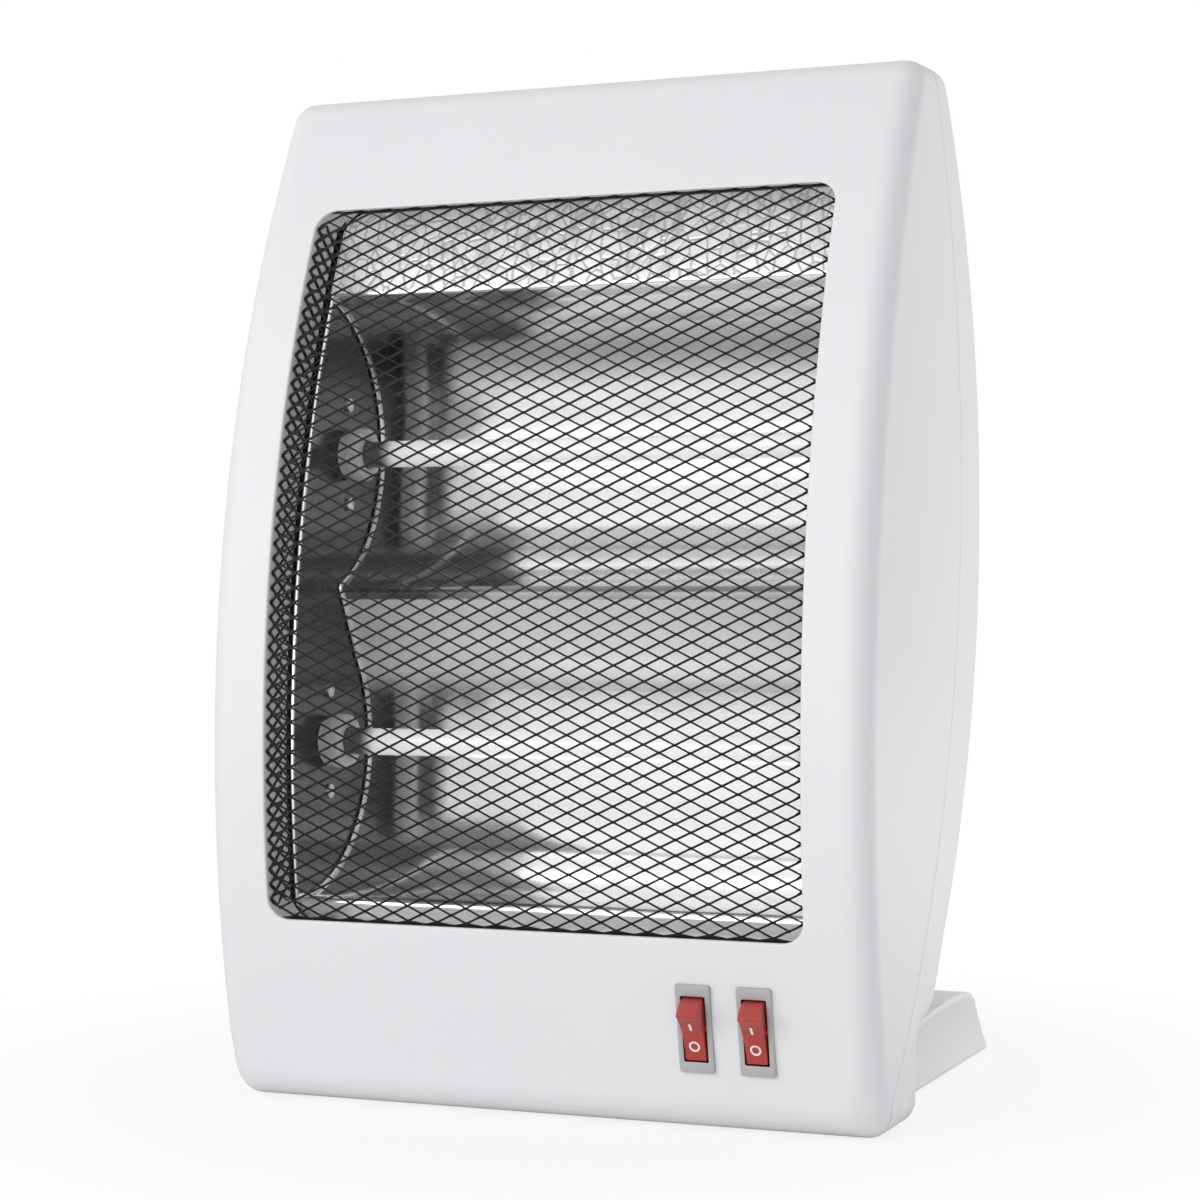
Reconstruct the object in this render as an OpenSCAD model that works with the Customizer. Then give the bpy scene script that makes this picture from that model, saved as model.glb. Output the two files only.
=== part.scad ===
// Two-bar quartz heater: a leaf-shaped plastic case with an arched front, an arched
// back and two rear feet, a folded mesh guard, a double-trough reflector, two quartz
// tubes in ceramic caps, two rocker switches and a tip-over switch.
// Millimetres. X = 0 is the plane of symmetry of the case, the front faces -Y,
// and the case stands on Z = 0.

/* [Case] */
// Overall height
case_h = 370; // [350:1:400]
// Overall width
case_w = 248; // [244:1:300]
// Wall thickness of both shells
wall = 2.5; // [2:0.1:3.5]
// Radius of the arched front
front_r = 480; // [450:5:520]
// Height of the centre of the front arch
front_cz = 128; // [120:1:136]
// Distance from the front-most line to the plane Y = 0
front_reach = 111; // [108:0.5:116]
// Radius of the arched back
rear_r = 255; // [250:1:270]
// Height of the centre of the back arch
rear_cz = 215; // [208:1:222]
// Distance from the rear-most line of the body to the plane Y = 0
rear_reach = 39.5; // [37:0.5:46]
// Rounding of the long edges between the front and the sides
front_edge_r = 10; // [7:0.5:14]
// Rounding of the long edges between the back and the sides
rear_edge_r = 6; // [4:0.5:10]
// Corner radius at the top, seen from the front
top_corner_r = 13; // [8:0.5:18]
// Corner radius at the bottom, seen from the front
bottom_corner_r = 17; // [12:0.5:20]
// Rounding of the top edges, seen from the side
top_edge_r = 12; // [8:0.5:14]
// Rounding of the lower front edge, seen from the side
bottom_edge_r = 16; // [10:0.5:20]

/* [Parting line] */
// Radius of the curved parting line, seen from the side
parting_r = 293; // [280:1:310]
// Height of the centre of the parting curve
parting_cz = 225; // [218:1:232]
// Distance from the rear-most point of the parting curve to the plane Y = 0
parting_reach = 7; // [5:0.5:16]
// Open gap between the two shells
parting_gap = 0.4; // [0.2:0.05:0.8]
// Width of the lapped edge of the joint
lap_w = 4; // [3:0.5:6]

/* [Base and feet] */
// Rear face of the base, measured from the plane Y = 0
base_back = 46; // [40:1:52]
// Height of the base block
base_h = 40; // [34:1:46]
// Rounding of the lower rear edge of the base
base_edge_r = 20; // [12:1:24]
// Rear end of the feet, measured from the plane Y = 0
foot_reach = 111; // [100:1:125]
// How far a foot stands in from the side of the case at the floor
foot_set = 15; // [12:1:24]
// Width of a foot's root, from the side of the case
foot_w = 46; // [38:1:60]
// Radius of the hump on top of the feet
foot_hump_r = 177; // [170:1:190]
// Height of the hump above the floor at its highest point
foot_hump_h = 36; // [32:1:40]
// Radius of the hollow flare that blends the foot into the side
foot_flare_r = 50; // [40:1:60]

/* [Window] */
// Width of the border on each side of the window
window_side = 24; // [22:0.5:34]
// Lower edge of the window above the floor
window_z0 = 67; // [62:1:76]
// Height of the border above the window
window_top = 45.5; // [42:0.5:60]
// Corner radius of the window
window_corner_r = 7.5; // [4:0.5:12]
// Gap between the end of the return round the window and the rim of the guard
return_gap = 1.7; // [1.2:0.1:12]
// Thickness of that return
return_t = 2; // [1.5:0.1:2.5]

/* [Guard] */
// Clearance between the guard and the window edge
guard_gap = 0.5; // [0.3:0.1:1]
// Depth of the guard's front below the outer face
guard_inset = 2; // [1:0.5:3]
// Depth from the outer face to the rim of the guard
guard_depth = 26; // [22:0.5:30]
// Thickness of the guard sheet
guard_t = 0.8; // [0.6:0.1:1.2]
// Width of the rim that is clamped behind the window
guard_rim = 5; // [4:0.5:6]
// Plain border between the outermost gaps and the fold
guard_border = 3; // [2:0.5:5]
// Width of one diamond gap with its strand
gap_w = 29; // [26:1:40]
// Height of one diamond gap with its strand
gap_h = 14.5; // [13:0.5:20]
// Width of a strand
strand_w = 1; // [0.8:0.1:1.6]

/* [Reflector] */
// Thickness of the reflector sheet
sheet_t = 0.8; // [0.6:0.1:1]
// Distance of the end plates outside the window's edge
plate_set = 3.6; // [2.4:0.2:5]
// Radius of the upper trough
upper_trough_r = 57.5; // [54:0.5:60]
// Radius of the lower trough
lower_trough_r = 55.5; // [52:0.5:58]
// Depth of the centre of the upper trough behind the front-most line
upper_trough_dy = 43; // [41:0.5:45]
// Height of the centre of the upper trough above the window's lower edge
upper_trough_dz = 172; // [169:0.5:175]
// Depth of the centre of the lower trough behind the front-most line
lower_trough_dy = 34; // [32:0.5:36]
// Height of the centre of the lower trough above the window's lower edge
lower_trough_dz = 60; // [57:0.5:63]
// Depth of the ridge between the troughs behind the front-most line
ridge_dy = 67; // [65:0.5:69]
// Height of that ridge above the window's lower edge
ridge_dz = 115; // [113:0.5:117]
// Width of the flanges beside the end plates
side_flange = 11.5; // [9:0.5:12]
// Height from the end of the upper trough to the bend of the top flange
bend_gap = 2.2; // [1.4:0.2:4]

/* [Tubes] */
// Diameter of a quartz tube
tube_d = 10; // [8:0.5:12]
// Wall of a quartz tube
tube_wall = 1.2; // [1:0.1:1.5]
// Diameter of a ceramic cap
cap_d = 20; // [18:0.5:24]
// Length of a cap inside the cavity
cap_in = 9; // [6:0.5:12]
// Length of a cap outside the end plate
cap_out = 8; // [6:0.5:9]
// Diameter of the cap's neck in the end plate
cap_neck_d = 14; // [13:0.5:16]
// Depth of the upper tube's axis behind the front-most line
upper_tube_dy = 73; // [68:1:78]
// Height of the upper tube's axis above the window's lower edge
upper_tube_dz = 169; // [164:1:174]
// Depth of the lower tube's axis behind the front-most line
lower_tube_dy = 57; // [52:1:62]
// Height of the lower tube's axis above the window's lower edge
lower_tube_dz = 61; // [57:1:65]
// Distance from a tube's axis to each rivet of its clip
rivet_offset = 19; // [16:0.5:22]

/* [Switches] */
// Height of the centre of the switches
switch_z = 36.4; // [33:0.2:40]
// Distance of the outer switch's centre from the side of the case
switch_side = 41.9; // [36:0.1:60]
// Distance between the centres of the two switches
switch_pitch = 21.7; // [16:0.1:24]
// Length of the switch frame
bezel_l = 31; // [29:0.5:34]
// Width of the switch frame
bezel_w = 12.4; // [11:0.2:14]
// Height of the frame above the case
bezel_proud = 1.2; // [0.8:0.1:2]
// Depth of the switch body behind the outer face
switch_depth = 16; // [13:0.5:20]
// Radius of the rocker's ends about its pivot
rocker_r = 11; // [10:0.25:12]
// Width of the rocker
rocker_w = 7.5; // [6:0.25:8]
// Depth of the pivot below the front of the frame
pivot_depth = 1.5; // [1:0.25:3]
// Half angle between the two tips of the rocker
tip_angle = 30.5; // [26:0.5:34]
// Tilt of the rocker with its lower end pressed in
rocker_tilt = 21.5; // [18:0.5:24]
// Diameter of the pivot pins
pivot_d = 2.2; // [1.8:0.1:2.6]
// Radial clearance of the pivot pins and of the plunger
run_gap = 0.06; // [0.03:0.01:0.1]

/* [Tip-over switch] */
// Depth of the plunger behind the front-most line
plunger_in = 41; // [39:1:45]
// Diameter of the plunger
plunger_d = 8; // [6:0.5:9]
// Travel of the plunger when the heater is lifted
plunger_travel = 6; // [4:0.5:7]
// Height of the tip-over switch's underside above the floor
tip_switch_z = 28; // [24:1:30]

/* [Terminal block] */
// Distance of the block's middle from the side of the case
block_side = 64; // [58:1:80]
// Length of the block
block_l = 36; // [34:1:40]
// Height of the block
block_h = 16; // [14:1:20]
// Depth of the block behind the wall
block_depth = 14; // [13:1:18]

/* [Back] */
// Number of vent rows in the upper back
vent_rows = 9; // [3:1:10]
// Distance between vent rows
vent_pitch = 9; // [7:0.5:11]
// Length of a vent slot
vent_l = 70; // [40:1:80]
// Height of a vent slot
vent_h = 4; // [2:0.5:5]
// Bore of the cord inlet
inlet_bore_d = 7.2; // [6:0.2:8]
// Height of the cord inlet above the floor
inlet_z = 58; // [54:1:64]

/* [Hidden] */
$fn = 64;
clear = 0.3;
eps = 0.01;
half_w = case_w / 2;
front_cy = front_r - front_reach;
rear_cy = rear_reach - rear_r;
parting_cy = parting_reach - parting_r;
window_w = case_w - 2 * window_side;
window_h = case_h - window_top - window_z0;
window_zc = window_z0 + window_h / 2;
window_return = guard_depth - guard_t - return_gap;
foot_outer = half_w - foot_set;
foot_inner = half_w - foot_w;
reflector_half = window_w / 2 + plate_set;
switch_x1 = half_w - switch_side - switch_pitch;
plunger_back = front_reach - plunger_in;

case_white = [0.89, 0.89, 0.9];
mesh_black = [0.08, 0.08, 0.09];
mirror_grey = [0.8, 0.8, 0.82];
plate_grey = [0.45, 0.45, 0.47];
quartz_white = [0.93, 0.94, 0.95];
ceramic_cream = [0.82, 0.8, 0.74];
steel_grey = [0.66, 0.66, 0.68];
frame_grey = [0.71, 0.71, 0.71];
rocker_red = [0.72, 0.2, 0.17];

// ---- Frames and helpers ----

// A solid of revolution about the X direction through (cy, cz)
module about_x(cy, cz) {
    translate([0, cy, cz]) rotate([0, 90, 0]) rotate_extrude() children();
}

// A cylinder along X through (cy, cz), a little wider than the case
module barrel(cy, cz, r) {
    translate([-case_w, cy, cz]) rotate([0, 90, 0]) cylinder(h = 2 * case_w, r = r, $fn = 200);
}

// Half of a slice through a disc with rounded rims: radius along x, width along y
module disc_slice(r, half, edge) {
    translate([0, -half]) square([r - edge, 2 * half]);
    translate([0, -half + edge]) square([r, 2 * (half - edge)]);
    for (s = [-1, 1]) translate([r - edge, s * (half - edge)]) circle(r = edge);
}

// A rectangle with rounded corners, centred across and standing on y = 0
module round_rect(w, h, r_top, r_bottom) {
    translate([-w / 2, r_bottom]) square([w, h - r_top - r_bottom]);
    translate([-w / 2 + r_top, h - 2 * r_top]) square([w - 2 * r_top, 2 * r_top]);
    translate([-w / 2 + r_bottom, 0]) square([w - 2 * r_bottom, 2 * r_bottom]);
    for (s = [-1, 1]) {
        translate([s * (w / 2 - r_top), h - r_top]) circle(r = r_top);
        translate([s * (w / 2 - r_bottom), r_bottom]) circle(r = r_bottom);
    }
}

// Extrudes a front view (X, Z) through the whole depth
module through_y() {
    translate([0, 2 * case_h, 0]) rotate([90, 0, 0]) linear_extrude(4 * case_h) children();
}

// Extrudes a side view (Y, Z) from x0 to x1
module along_x(x0, x1) {
    translate([x0, 0, 0]) rotate([90, 0, 90]) linear_extrude(x1 - x0) children();
}

// The part of a corner outside its rounding: c is the centre, d1 and d2 the directions
// of the two tangent points
module corner_cut(c, d1, d2, r) {
    far = 3 * r + 6;
    difference() {
        polygon([c, c + far * d1, c + far * (d1 + d2), c + far * d2]);
        translate(c) circle(r = r);
    }
}

// Y of the front face, set back by depth d, at height z
function front_y(z, d) = front_cy - sqrt(pow(front_r - d, 2) - pow(z - front_cz, 2));
// Y of the rear face, set in by depth d, at height z
function rear_y(z, d) = rear_cy + sqrt(pow(rear_r - d, 2) - pow(z - rear_cz, 2));
function unit(v) = v / norm(v);

// Places children on the front at height z: their -Y faces out, y = 0 is the outer face
module on_front(x, z) {
    translate([x, front_cy, front_cz])
        rotate([-asin((z - front_cz) / front_r), 0, 0])
            translate([0, -front_r, 0]) children();
}

// Places children on the back at height z: their +Y faces out, y = 0 is the outer face
module on_rear(x, z) {
    translate([x, rear_cy, rear_cz])
        rotate([asin((z - rear_cz) / rear_r), 0, 0])
            translate([0, rear_r, 0]) children();
}

// A shell of the front arch between two depths
module front_layer(d0, d1) {
    difference() {
        barrel(front_cy, front_cz, front_r - d0);
        barrel(front_cy, front_cz, front_r - d1);
    }
}

// ---- Case ----

// The leaf-shaped body, set in by d on every side
module leaf(d) {
    r_top = top_edge_r - d;
    r_low = bottom_edge_r - d;
    z_top = case_h - top_edge_r;
    c_top_front = [front_y(z_top, top_edge_r), z_top];
    c_top_rear = [rear_y(z_top, top_edge_r), z_top];
    c_low = [front_y(bottom_edge_r, bottom_edge_r), bottom_edge_r];
    difference() {
        intersection() {
            about_x(front_cy, front_cz)
                disc_slice(front_r - d, half_w - d, front_edge_r - d, $fn = 200);
            about_x(rear_cy, rear_cz)
                disc_slice(rear_r - d, half_w - d, rear_edge_r - d, $fn = 200);
            front_view(d);
        }
        along_x(-case_w, case_w) {
            corner_cut(c_top_front, unit(c_top_front - [front_cy, front_cz]), [0, 1], r_top);
            corner_cut(c_top_rear, unit(c_top_rear - [rear_cy, rear_cz]), [0, 1], r_top);
            corner_cut(c_low, unit(c_low - [front_cy, front_cz]), [0, -1], r_low);
        }
    }
}

module front_view(d) {
    through_y() translate([0, d])
        round_rect(case_w - 2 * d, case_h - 2 * d, top_corner_r - d, bottom_corner_r - d);
}

// The base block under the back, set in by d
module base_block(d) {
    y0 = front_y(bottom_edge_r, bottom_edge_r);
    intersection() {
        front_view(d);
        along_x(-case_w, case_w) {
            translate([y0, d]) square([-base_back - base_edge_r - y0, base_h - d]);
            translate([y0, base_edge_r]) square([-base_back - d - y0, base_h - base_edge_r]);
            translate([-base_back - base_edge_r, base_edge_r]) circle(r = base_edge_r - d);
        }
    }
}

// Distance of the highest line of the hump from the plane Y = 0
foot_hump_cy = 6;

// One rear foot on the +X side, set in by d
module foot(d) {
    hump_cz = foot_hump_h - foot_hump_r;
    y0 = -base_back - 15;
    intersection() {
        translate([foot_inner + d, y0, d])
            cube([half_w - foot_inner - 2 * d, foot_reach - d - y0, base_h]);
        barrel(foot_hump_cy, hump_cz, foot_hump_r - d);
        difference() {
            translate([0, -case_h, 0]) cube([case_w, 2 * case_h, case_h]);
            translate([foot_outer + foot_flare_r, case_h, 0]) rotate([90, 0, 0])
                cylinder(h = 2 * case_h, r = foot_flare_r + d, $fn = 128);
        }
    }
}

module feet(d) {
    foot(d);
    mirror([1, 0, 0]) foot(d);
}

module case_front_form(d) {
    leaf(d);
    base_block(d);
}

module case_rear_form(d) {
    leaf(d);
    base_block(d);
    feet(d);
}

module window_outline(grow) {
    translate([0, window_z0 - grow])
        round_rect(window_w + 2 * grow, window_h + 2 * grow,
            window_corner_r + grow, window_corner_r + grow);
}

boss_r = 4;
pilot_r = 1.4;
top_screw = [half_w - 32, case_h - 24];
low_screw = [32, 24];
screw_places = [[-top_screw[0], top_screw[1]], top_screw, [-low_screw[0], low_screw[1]],
    low_screw];
// Depth of the plane where the front and rear bosses meet
function boss_meet(z) = front_y(z, 0) + 0.55 * (rear_y(z, 0) - front_y(z, 0));
flange_screw_x = reflector_half + sheet_t + side_flange / 2;
flange_screw_z = [window_z0 + 12, window_zc, window_z0 + window_h - 12];
flange_depth = guard_depth + 0.05;
rib_gap = 1.4;
rib_w = 2.8;
rib_l = 12;
rib_x = [-60, 0, 60];

module front_shell() {
    color(case_white) {
        difference() {
            intersection() {
                case_front_form(0);
                barrel(parting_cy, parting_cz, parting_r - parting_gap / 2);
            }
            case_front_form(wall);
            // step of the lapped joint
            intersection() {
                case_front_form(wall / 2);
                difference() {
                    barrel(parting_cy, parting_cz, parting_r + 5);
                    barrel(parting_cy, parting_cz, parting_r - lap_w);
                }
            }
            through_y_front() window_outline(0);
            for (x = [switch_x1, switch_x1 + switch_pitch]) on_front(x, switch_z)
                translate([-body_w / 2 - clear / 2, -5, -body_l / 2 - clear / 2])
                    cube([body_w + clear, 15, body_l + clear]);
        }
        // return round the window
        intersection() {
            front_layer(wall / 2, window_return);
            through_y_front() difference() {
                window_outline(return_t);
                window_outline(0);
            }
        }
        // ribs that press the rim of the guard against the flanges
        intersection() {
            front_layer(wall / 2, guard_depth - guard_t - 0.05);
            through_y_front() {
                for (s = [-1, 1], z = flange_screw_z)
                    translate([s * (window_w / 2 + rib_gap) - (s < 0 ? rib_w : 0), z - rib_l / 2])
                        square([rib_w, rib_l]);
                for (x = rib_x) {
                    translate([x - rib_l / 2, window_z0 + window_h + rib_gap])
                        square([rib_l, rib_w]);
                    translate([x - rib_l / 2, window_z0 - rib_gap - rib_w])
                        square([rib_l, rib_w]);
                }
            }
        }
        // bosses that hold the reflector
        for (s = [-1, 1], z = flange_screw_z) on_front(s * flange_screw_x, z)
            rotate([-90, 0, 0]) difference() {
                translate([0, 0, wall / 2]) cylinder(h = flange_depth - wall / 2, r = boss_r);
                translate([0, 0, wall]) cylinder(h = flange_depth, r = pilot_r);
            }
        // bosses that take the case screws
        for (p = screw_places) difference() {
            intersection() {
                case_front_form(wall / 2);
                translate([p[0], boss_meet(p[1]) - clear / 2, p[1]]) rotate([90, 0, 0])
                    cylinder(h = 80, r = boss_r);
            }
            translate([p[0], boss_meet(p[1]) + 1, p[1]]) rotate([90, 0, 0])
                cylinder(h = 14, r = pilot_r);
        }
    }
}

// Extrudes a front view (X, Z) through the front half only
module through_y_front() {
    rotate([90, 0, 0]) linear_extrude(2 * front_reach) children();
}

vent_x = vent_l / 2 + 8;

module vent_slot() {
    rotate([-90, 0, 0]) translate([0, 0, -15]) linear_extrude(30) {
        square([vent_l - vent_h, vent_h], center = true);
        for (s = [-1, 1]) translate([s * (vent_l - vent_h) / 2, 0]) circle(d = vent_h);
    }
}

vent_z0 = 235;
low_vent_z0 = 105;
low_vent_rows = 5;
inlet_hole_d = 12;
screw_head_d = 7;
post_x = 12;
post_d = 5;
post_pilot_r = 1;
plunger_boss_h = 3.4;

module rear_shell() {
    color(case_white) {
        difference() {
            case_rear_form(0);
            case_rear_form(wall);
            barrel(parting_cy, parting_cz, parting_r + parting_gap / 2);
            for (s = [-1, 1], i = [0 : vent_rows - 1])
                on_rear(s * vent_x, vent_z0 + i * vent_pitch) vent_slot();
            for (s = [-1, 1], i = [0 : low_vent_rows - 1])
                on_rear(s * vent_x, low_vent_z0 + i * vent_pitch) vent_slot();
            on_rear(0, inlet_z) rotate([90, 0, 0]) translate([0, 0, -10])
                cylinder(h = 20, d = inlet_hole_d);
            for (p = screw_places) translate([p[0], boss_meet(p[1]), p[1]])
                rotate([-90, 0, 0]) translate([0, 0, 4]) cylinder(h = 80, d = screw_head_d + 1);
            translate([0, -plunger_back, -1]) cylinder(h = 10, r = plunger_d / 2 + run_gap);
        }
        // tongue of the lapped joint
        difference() {
            intersection() {
                case_front_form(wall / 2 + clear / 2);
                barrel(parting_cy, parting_cz, parting_r + 1.5);
            }
            case_front_form(wall);
            barrel(parting_cy, parting_cz, parting_r - lap_w + clear);
        }
        // screw tubes
        for (p = screw_places) difference() {
            intersection() {
                case_rear_form(wall / 2);
                translate([p[0], boss_meet(p[1]) + clear / 2, p[1]]) rotate([-90, 0, 0])
                    cylinder(h = 90, r = boss_r + 2);
            }
            translate([p[0], boss_meet(p[1]) + 4, p[1]]) rotate([-90, 0, 0])
                cylinder(h = 90, d = screw_head_d + 1);
            translate([p[0], boss_meet(p[1]) - 1, p[1]]) rotate([-90, 0, 0])
                cylinder(h = 20, d = 3.8);
        }
        // guide of the plunger and posts of the tip-over switch
        translate([0, -plunger_back, wall / 2]) difference() {
            cylinder(h = plunger_boss_h - wall / 2, r = plunger_d / 2 + 3);
            translate([0, 0, -1]) cylinder(h = 10, r = plunger_d / 2 + run_gap);
        }
        for (s = [-1, 1]) translate([s * post_x, -plunger_back, wall / 2]) difference() {
            cylinder(h = tip_switch_z - wall / 2, d = post_d);
            translate([0, 0, tip_switch_z - wall / 2 - 10]) cylinder(h = 11, r = post_pilot_r);
        }
    }
}

// ---- Guard ----

pan_w = window_w - 2 * guard_gap;
pan_h = window_h - 2 * guard_gap;

module pan_outline(grow) {
    r = window_corner_r - guard_gap + grow;
    translate([0, window_z0 + guard_gap - grow])
        round_rect(pan_w + 2 * grow, pan_h + 2 * grow, r, r);
}

module diamond(w, h) {
    polygon([[-w / 2, 0], [0, -h / 2], [w / 2, 0], [0, h / 2]]);
}

field_w = pan_w - 2 * guard_border;
field_h = pan_h - 2 * guard_border;
gap_cols = floor(field_w / gap_w);
gap_rows = floor(field_h / gap_h);
gap_pw = field_w / gap_cols;
gap_ph = field_h / gap_rows;
// Width and height of an open gap, the strands taken off
open_w = gap_pw - strand_w * norm([gap_pw, gap_ph]) / gap_ph;
open_h = open_w * gap_ph / gap_pw;

// Diamond gaps on two interleaved grids
module gap_field() {
    for (i = [0 : gap_cols - 1], j = [0 : gap_rows - 1])
        translate([-field_w / 2 + (i + 0.5) * gap_pw,
            window_zc - field_h / 2 + (j + 0.5) * gap_ph]) diamond(open_w, open_h);
    for (i = [1 : gap_cols - 1], j = [1 : gap_rows - 1])
        translate([-field_w / 2 + i * gap_pw, window_zc - field_h / 2 + j * gap_ph])
            diamond(open_w, open_h);
}

side_depth = guard_depth - guard_inset;

module mesh_guard() {
    color(mesh_black) {
        difference() {
            intersection() {
                front_layer(guard_inset, guard_inset + guard_t);
                through_y_front() pan_outline(0);
            }
            through_y_front() gap_field();
        }
        difference() {
            intersection() {
                front_layer(guard_inset, guard_depth);
                through_y_front() difference() {
                    pan_outline(0);
                    pan_outline(-guard_t);
                }
            }
            for (j = [0 : gap_rows - 2]) {
                z = window_zc - field_h / 2 + (j + 1) * gap_ph;
                translate([0, front_y(z, (guard_inset + guard_depth) / 2), z])
                    rotate([90, 0, 90]) linear_extrude(2 * case_w, center = true)
                        diamond(side_depth - 2 * guard_border, open_h);
            }
            for (i = [0 : gap_cols - 2], e = [0, 1]) {
                z = window_z0 + e * window_h;
                translate([-field_w / 2 + (i + 1) * gap_pw,
                    front_y(z, (guard_inset + guard_depth) / 2), z])
                    linear_extrude(6 * guard_border, center = true)
                        diamond(open_w, side_depth - 3 * guard_border);
            }
        }
        intersection() {
            front_layer(guard_depth - guard_t, guard_depth);
            through_y_front() difference() {
                pan_outline(guard_rim);
                pan_outline(-guard_t);
            }
        }
    }
}

// ---- Reflector ----

upper_trough = [upper_trough_dy - front_reach, window_z0 + upper_trough_dz];
lower_trough = [lower_trough_dy - front_reach, window_z0 + lower_trough_dz];
flange_top_z = window_z0 + window_h + 3;
flange_low_z = window_z0 - 4;
upper_bend_z = upper_trough[1] + upper_trough_r * sin(68) + bend_gap;
lower_bend_z = window_z0 + 5;
ridge = [ridge_dy - front_reach, window_z0 + ridge_dz];

// Points of an arc about c from angle a0 to a1 in n steps
function arc(c, r, a0, a1, n) =
    [for (i = [0 : n]) c + r * [cos(a0 + (a1 - a0) * i / n), sin(a0 + (a1 - a0) * i / n)]];
// Normal of a path of points at index i
function path_normal(p, i) =
    let (t = unit(p[min(i + 1, len(p) - 1)] - p[max(i - 1, 0)])) [-t[1], t[0]];
// A closed outline: the path and the same path moved sideways by t
function strip(p, t) = concat(p,
    [for (i = [len(p) - 1 : -1 : 0]) p[i] + t * path_normal(p, i)]);

// Side view of the reflector's polished face, from the top flange to the bottom flange
face_path = concat(
    [[front_y(flange_top_z, flange_depth), flange_top_z],
        [front_y(upper_bend_z, flange_depth), upper_bend_z]],
    arc(upper_trough, upper_trough_r, 68, -68, 20),
    [ridge],
    arc(lower_trough, lower_trough_r, 36, -84, 20),
    [[front_y(lower_bend_z, flange_depth) + 0.4, lower_bend_z],
        [front_y(flange_low_z, flange_depth), flange_low_z]]);

module reflector() {
    color(mirror_grey)
        along_x(-reflector_half + 0.1, reflector_half - 0.1) polygon(strip(face_path, sheet_t));
}

// Points of the flange's front face, level with the ends of face_path
flange_steps = 26;
flange_path = [for (i = [0 : flange_steps])
    let (z = flange_top_z + (flange_low_z - flange_top_z) * i / flange_steps)
    [front_y(z, flange_depth), z]];

module end_plate(s) {
    x0 = reflector_half;
    mirror([s < 0 ? 1 : 0, 0, 0]) difference() {
        union() {
            difference() {
                along_x(x0, x0 + sheet_t) polygon(concat(flange_path,
                    [for (i = [len(face_path) - 2 : -1 : 1])
                        face_path[i] + (sheet_t + 2) * path_normal(face_path, i)]));
                for (t = tube_axes) {
                    translate([x0 - 5, t[0], t[1]]) rotate([0, 90, 0])
                        cylinder(h = 10, d = cap_neck_d + 0.2);
                    for (e = [-1, 1]) translate([x0 - 5, t[0], t[1] + e * rivet_offset])
                        rotate([0, 90, 0]) cylinder(h = 10, r = rivet_r + 0.05);
                }
            }
            along_x(x0, x0 + sheet_t + side_flange) polygon(strip(flange_path, sheet_t));
        }
        for (z = flange_screw_z) on_front(flange_screw_x, z) rotate([-90, 0, 0])
            cylinder(h = 60, r = 1.9);
    }
}

module end_plate_left() {
    color(plate_grey) end_plate(-1);
}

module end_plate_right() {
    color(plate_grey) end_plate(1);
}

// ---- Tubes ----

upper_axis = [upper_tube_dy - front_reach, window_z0 + upper_tube_dz];
lower_axis = [lower_tube_dy - front_reach, window_z0 + lower_tube_dz];
tube_axes = [upper_axis, lower_axis];
rivet_r = 1.5;
tube_half = reflector_half;
coil_half = tube_half - 6;
pin_r = 1.2;
plate_out = reflector_half + sheet_t;
cap_end = plate_out + cap_out;
clip_t = 0.8;
clip_w = 18;

module x_cylinder(x0, x1, r) {
    translate([x0, 0, 0]) rotate([0, 90, 0]) cylinder(h = x1 - x0, r = r);
}

module at_axis(a) {
    translate([0, a[0], a[1]]) children();
}

module quartz_tube(a) {
    color(quartz_white) at_axis(a) difference() {
        x_cylinder(-tube_half, tube_half, tube_d / 2);
        x_cylinder(-tube_half - 1, tube_half + 1, tube_d / 2 - tube_wall);
    }
}

module upper_tube() {
    quartz_tube(upper_axis);
}

module lower_tube() {
    quartz_tube(lower_axis);
}

module heating_coil(a) {
    color(steel_grey) at_axis(a) x_cylinder(-coil_half, coil_half, tube_d / 2 - tube_wall - 0.6);
}

module upper_coil() {
    heating_coil(upper_axis);
}

module lower_coil() {
    heating_coil(lower_axis);
}

module ceramic_cap(a, s) {
    color(ceramic_cream) at_axis(a) mirror([s < 0 ? 1 : 0, 0, 0]) difference() {
        union() {
            x_cylinder(reflector_half - cap_in, reflector_half - 0.05, cap_d / 2);
            x_cylinder(reflector_half - 1, cap_end, cap_neck_d / 2);
        }
        x_cylinder(reflector_half - cap_in - 1, tube_half + 0.1, tube_d / 2 + 0.1);
        x_cylinder(tube_half, cap_end + 1, pin_r + 0.05);
    }
}

module cap_upper_left() {
    ceramic_cap(upper_axis, -1);
}

module cap_upper_right() {
    ceramic_cap(upper_axis, 1);
}

module cap_lower_left() {
    ceramic_cap(lower_axis, -1);
}

module cap_lower_right() {
    ceramic_cap(lower_axis, 1);
}

// Spring clip on the outside of an end plate, riveted above and below the cap
module cap_clip(a, s) {
    color(steel_grey) at_axis(a) mirror([s < 0 ? 1 : 0, 0, 0]) difference() {
        translate([plate_out, -clip_w / 2, -rivet_offset - 5])
            cube([clip_t, clip_w, 2 * rivet_offset + 10]);
        x_cylinder(plate_out - 1, plate_out + 3, cap_neck_d / 2 + 0.1);
        for (e = [-1, 1]) translate([0, 0, e * rivet_offset])
            x_cylinder(plate_out - 1, plate_out + 3, rivet_r + 0.05);
    }
}

module clip_upper_left() {
    cap_clip(upper_axis, -1);
}

module clip_upper_right() {
    cap_clip(upper_axis, 1);
}

module clip_lower_left() {
    cap_clip(lower_axis, -1);
}

module clip_lower_right() {
    cap_clip(lower_axis, 1);
}

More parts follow.
